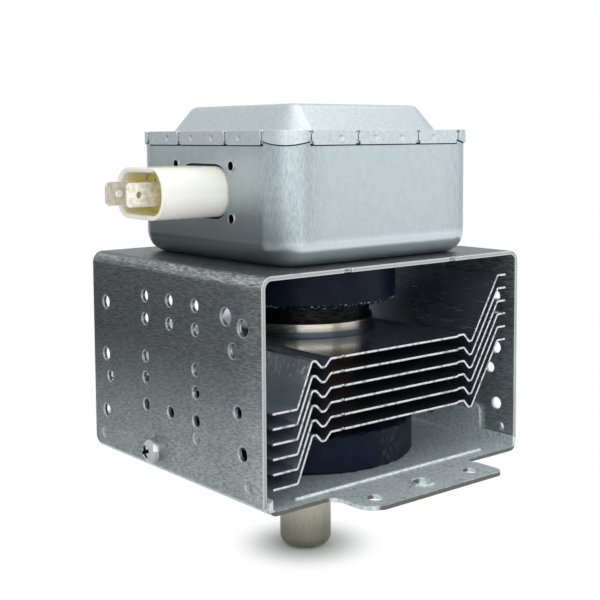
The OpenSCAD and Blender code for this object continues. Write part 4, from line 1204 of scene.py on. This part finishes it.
@dataclass
class FeedThrough(SubAssembly):
    """Capacitor that leads the heater current into the box: sleeve, resin, blades and what is behind."""

    lip_round: float = 0.3
    lip_steps: int = 4
    mouth_flare: float = 0.85
    mouth_depth: float = 0.01
    wall: float = 1.3
    corner_r: float = 5.35
    blade_round: float = 0.12
    rim_round: float = 0.12
    resin_x: float = -48.15
    meniscus: tuple[tuple[float, float], ...] = ((0.25, 0.45), (0.35, 0.3), (0.5, 0.15))

    def build(self) -> None:
        """Model the sleeve, the resin, the blades and the eyelets, and dress them all."""
        self.set_in(self.lipped_sleeve(), WHITE_PLASTIC, "white_plastic", "capacitor_sleeve")
        self.set_in(self.poured_resin(), EPOXY, "epoxy", "capacitor_potting")
        for side in ("front", "rear"):
            blade = self.softened(f"terminal_{side}", f"blade_{side}", self.blade_round)
            self.set_in(blade, TINNED_BRASS, "tinned_brass", f"terminal_{side}")
        plate = self.softened("earth_plate", "eyelet_plate", self.rim_round)
        self.set_in(plate, EARTH_STEEL, "earth_steel", "earth_plate")
        self.dress(WHITE_PLASTIC, "capacitor_case")
        self.dress(CAPACITOR_CERAMIC, "capacitor_ceramic")

    def lipped_sleeve(self) -> Piece:
        """Round the lip of the sleeve's mouth and flare the mouth inside it.

        Returns:
            The sleeve.
        """
        sleeve = self.merged("capacitor_sleeve", "moulded_sleeve")
        low, high = (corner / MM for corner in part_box("capacitor_sleeve"))
        half_w, half_h = high.y - self.wall / 2, (high.z - low.z - self.wall) / 2
        middle_z = (low.z + high.z) / 2

        def on_mouth(place: Vector, inside: bool) -> bool:
            """Tell whether an edge lies on the mouth, on the inner or the outer loop.

            Args:
                place: Middle of the edge.
                inside: Whether the inner loop is asked for.

            Returns:
                Whether it lies there.
            """
            beyond = max(abs(place.y) - half_w, abs(place.z - middle_z) - half_h)
            corner_y, corner_z = half_w - self.corner_r, half_h - self.corner_r
            arm = Vector((max(abs(place.y) - corner_y, 0), max(abs(place.z - middle_z) - corner_z, 0)))
            outer = max(beyond, arm.length - self.corner_r) > 0
            return place.x < low.x + self.mouth_depth and outer != inside

        for inside, width in ((False, self.lip_round), (True, self.mouth_flare)):
            pick(sleeve, Element.EDGE, lambda place, way, inside=inside: on_mouth(place, inside))
            bpy.ops.mesh.bevel(offset=width * MM, segments=self.lip_steps)
            leave_edit()
        smooth(sleeve, keep_flat=True)
        return sleeve

    def poured_resin(self) -> Piece:
        """Let the resin's face sink between the walls and blades that it climbs.

        Returns:
            The resin.
        """
        resin = self.merged("capacitor_potting", "poured_resin")
        face_x = self.resin_x + NEAR
        pick(resin, Element.FACE, lambda middle, normal: normal.x < -ALONG and middle.x < face_x)
        for inwards, deeper in self.meniscus:
            bpy.ops.mesh.inset(thickness=inwards * MM, use_even_offset=False)
            bpy.ops.transform.translate(value=(deeper * MM, 0, 0))
        leave_edit()
        smooth(resin, angle=50)
        return resin


@dataclass
class ChokePair(SubAssembly):
    """The two filter chokes inside the box."""

    def build(self) -> None:
        """Dress the coils and their cores."""
        self.dress(CHOKE_COPPER, "choke_coil_front", "choke_coil_rear")
        self.dress(CHOKE_FERRITE, "ferrite_core_front", "ferrite_core_rear")


@dataclass(frozen=True)
class Lamp:
    """Square soft lamp that looks at the object."""

    name: str
    place: tuple[float, float, float]
    side: float
    watts: float

    def hang(self, target: Vector) -> None:
        """Hang the lamp.

        Args:
            target: Where it looks, in millimetres.
        """
        data = bpy.data.lights.new(self.name, "AREA")
        data.size = self.side * MM
        data.energy = self.watts
        lamp = bpy.data.objects.new(self.name, data)
        aim = (target - Vector(self.place)).to_track_quat("-Z", "Y").to_matrix().to_4x4()
        lamp.matrix_world = Matrix.Translation(Vector(self.place) * MM) @ aim
        bpy.context.scene.collection.objects.link(lamp)


@dataclass
class Studio:
    """Pale floor, white surroundings, soft lamps, a dark card and the camera."""

    yaw: float = -39.33
    pitch: float = 4.76
    roll: float = -0.355
    place: tuple[float, float, float] = (-209.6, -254.05, 93.75)
    lens: float = 67.05
    shift_y: float = -0.12
    target: tuple[float, float, float] = (-5.0, 0.0, 40.0)
    lamps: tuple[Lamp, ...] = (
        Lamp("key_lamp", (-430.0, -770.0, 420.0), 1400.0, 7.4),
        Lamp("fill_lamp", (700.0, -600.0, 260.0), 900.0, 1.5),
        Lamp("top_lamp", (250.0, -100.0, 950.0), 700.0, 2.5),
    )
    ambient: float = 0.45
    floor_z: float = -29.1
    floor_side: float = 6000.0
    shadow_start: float = 5.0
    shadow_end: float = 24.0
    mirror_end: float = 90.0
    card: tuple[tuple[float, float, float], ...] = (
        (-160.0, 88.0, -28.0), (-40.0, 330.0, -28.0), (-365.0, 300.0, 62.0), (-160.0, 720.0, 62.0),
    )

    def build(self) -> None:
        """Set up the camera, floor, surroundings, lamps and card."""
        self.set_camera()
        self.light_world()
        self.lay_floor()
        self.stand_card()
        for lamp in self.lamps:
            lamp.hang(Vector(self.target))
        bpy.context.scene.view_settings.view_transform = "Standard"

    def set_camera(self) -> None:
        """Stand the camera where the photograph was taken from."""
        yaw, pitch, roll = (math.radians(angle) for angle in (self.yaw, self.pitch, self.roll))
        back = Vector((math.sin(yaw) * math.cos(pitch), -math.cos(yaw) * math.cos(pitch), math.sin(pitch)))
        right = Vector((math.cos(yaw), math.sin(yaw), 0))
        up = back.cross(right)
        side = math.cos(roll) * right + math.sin(roll) * up
        top = math.cos(roll) * up - math.sin(roll) * right
        matrix = Matrix((side, top, back)).transposed().to_4x4()
        matrix.translation = Vector(self.place) * MM
        data = bpy.data.cameras.new("photo_camera")
        data.lens = self.lens
        data.shift_y = self.shift_y
        camera = bpy.data.objects.new("photo_camera", data)
        camera.matrix_world = matrix
        bpy.context.scene.collection.objects.link(camera)
        bpy.context.scene.camera = camera

    def seen(self, tree: Tree, levels: tuple[Socket | float, ...]) -> Socket:
        """Tell how white the background is to a ray.

        Args:
            tree: Node tree of the world or the floor.
            levels: How white it is to each kind of background ray.

        Returns:
            Value socket, 0 for all other rays.
        """
        path = add_node(tree, "ShaderNodeLightPath")
        most: Socket | float = 0.0
        for ray, level in zip(BACKGROUND_RAYS, levels):
            part = {"operation": "MULTIPLY", 0: path.outputs[ray], 1: level}
            more = {"operation": "MAXIMUM", 0: most, 1: add_node(tree, "ShaderNodeMath", part).outputs[0]}
            most = add_node(tree, "ShaderNodeMath", more).outputs[0]
        return most

    def light_world(self) -> None:
        """Surround the object with white, and with a weaker light on matt surfaces."""
        world = bpy.data.worlds.new("white_studio")
        bpy.context.scene.world = world
        world.use_nodes = True
        world.cycles.sampling_method = "NONE"
        tree = world.node_tree
        white = self.seen(tree, (1.0,) * len(BACKGROUND_RAYS))
        levels = {"Value": white, "To Min": self.ambient, "To Max": 1.0}
        strength = add_node(tree, "ShaderNodeMapRange", levels).outputs[0]
        fill_node(tree, tree.nodes["Background"], {"Color": (1, 1, 1, 1), "Strength": strength})

    def lay_floor(self) -> None:
        """Lay a pale floor that keeps the shadow and turns white away from the object."""
        bpy.ops.object.select_all(action="DESELECT")
        bpy.ops.mesh.primitive_plane_add(size=self.floor_side * MM, location=(0, 0, self.floor_z * MM))
        floor = bpy.context.object
        floor.name = "studio_floor"
        material = FLOOR_PAINT.material()
        tree = material.node_tree
        place = add_node(tree, "ShaderNodeTexCoord").outputs["Object"]
        length = add_node(tree, "ShaderNodeVectorMath", {"operation": "LENGTH", 0: place}).outputs["Value"]
        start = {"Value": length, "interpolation_type": "SMOOTHSTEP", "From Min": self.shadow_start * MM}
        shadow, mirrored = (
            add_node(tree, "ShaderNodeMapRange", {**start, "From Max": end * MM}).outputs[0]
            for end in (self.shadow_end, self.mirror_end)
        )
        white = self.seen(tree, (shadow, mirrored, mirrored))
        glow = add_node(tree, "ShaderNodeEmission", {"Strength": 1.0}).outputs[0]
        painted = tree.nodes["Principled BSDF"].outputs[0]
        mixed = add_node(tree, "ShaderNodeMixShader", {0: white, 1: painted, 2: glow}).outputs[0]
        fill_node(tree, tree.nodes["Material Output"], {"Surface": mixed})
        floor.data.materials.append(material)

    def stand_card(self) -> None:
        """Lean a dark card behind the left wall, which only mirroring metal sees."""
        bpy.ops.object.select_all(action="DESELECT")
        bpy.ops.mesh.primitive_plane_add(size=1)
        card = bpy.context.object
        card.name = "studio_card"
        for vertex, corner in zip(card.data.vertices, self.card):
            vertex.co = Vector(corner) * MM
        card.data.materials.append(CARD_FELT.material())
        card.visible_camera = False
        card.visible_shadow = False
        card.visible_diffuse = False


def main() -> None:
    """Load the frame, build and dress each sub-assembly and light the studio."""
    logging.basicConfig(level=logging.INFO, format="%(name)s: %(message)s")
    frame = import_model()
    for group in (Yoke, MagnetPair, Tube, OutputEnd, FinStack, FilterBox, FeedThrough, ChokePair):
        group(frame["nodes"]).build()
        log.info("%s done", group.__name__)
    Studio().build()


if __name__ == "__main__":
    main()
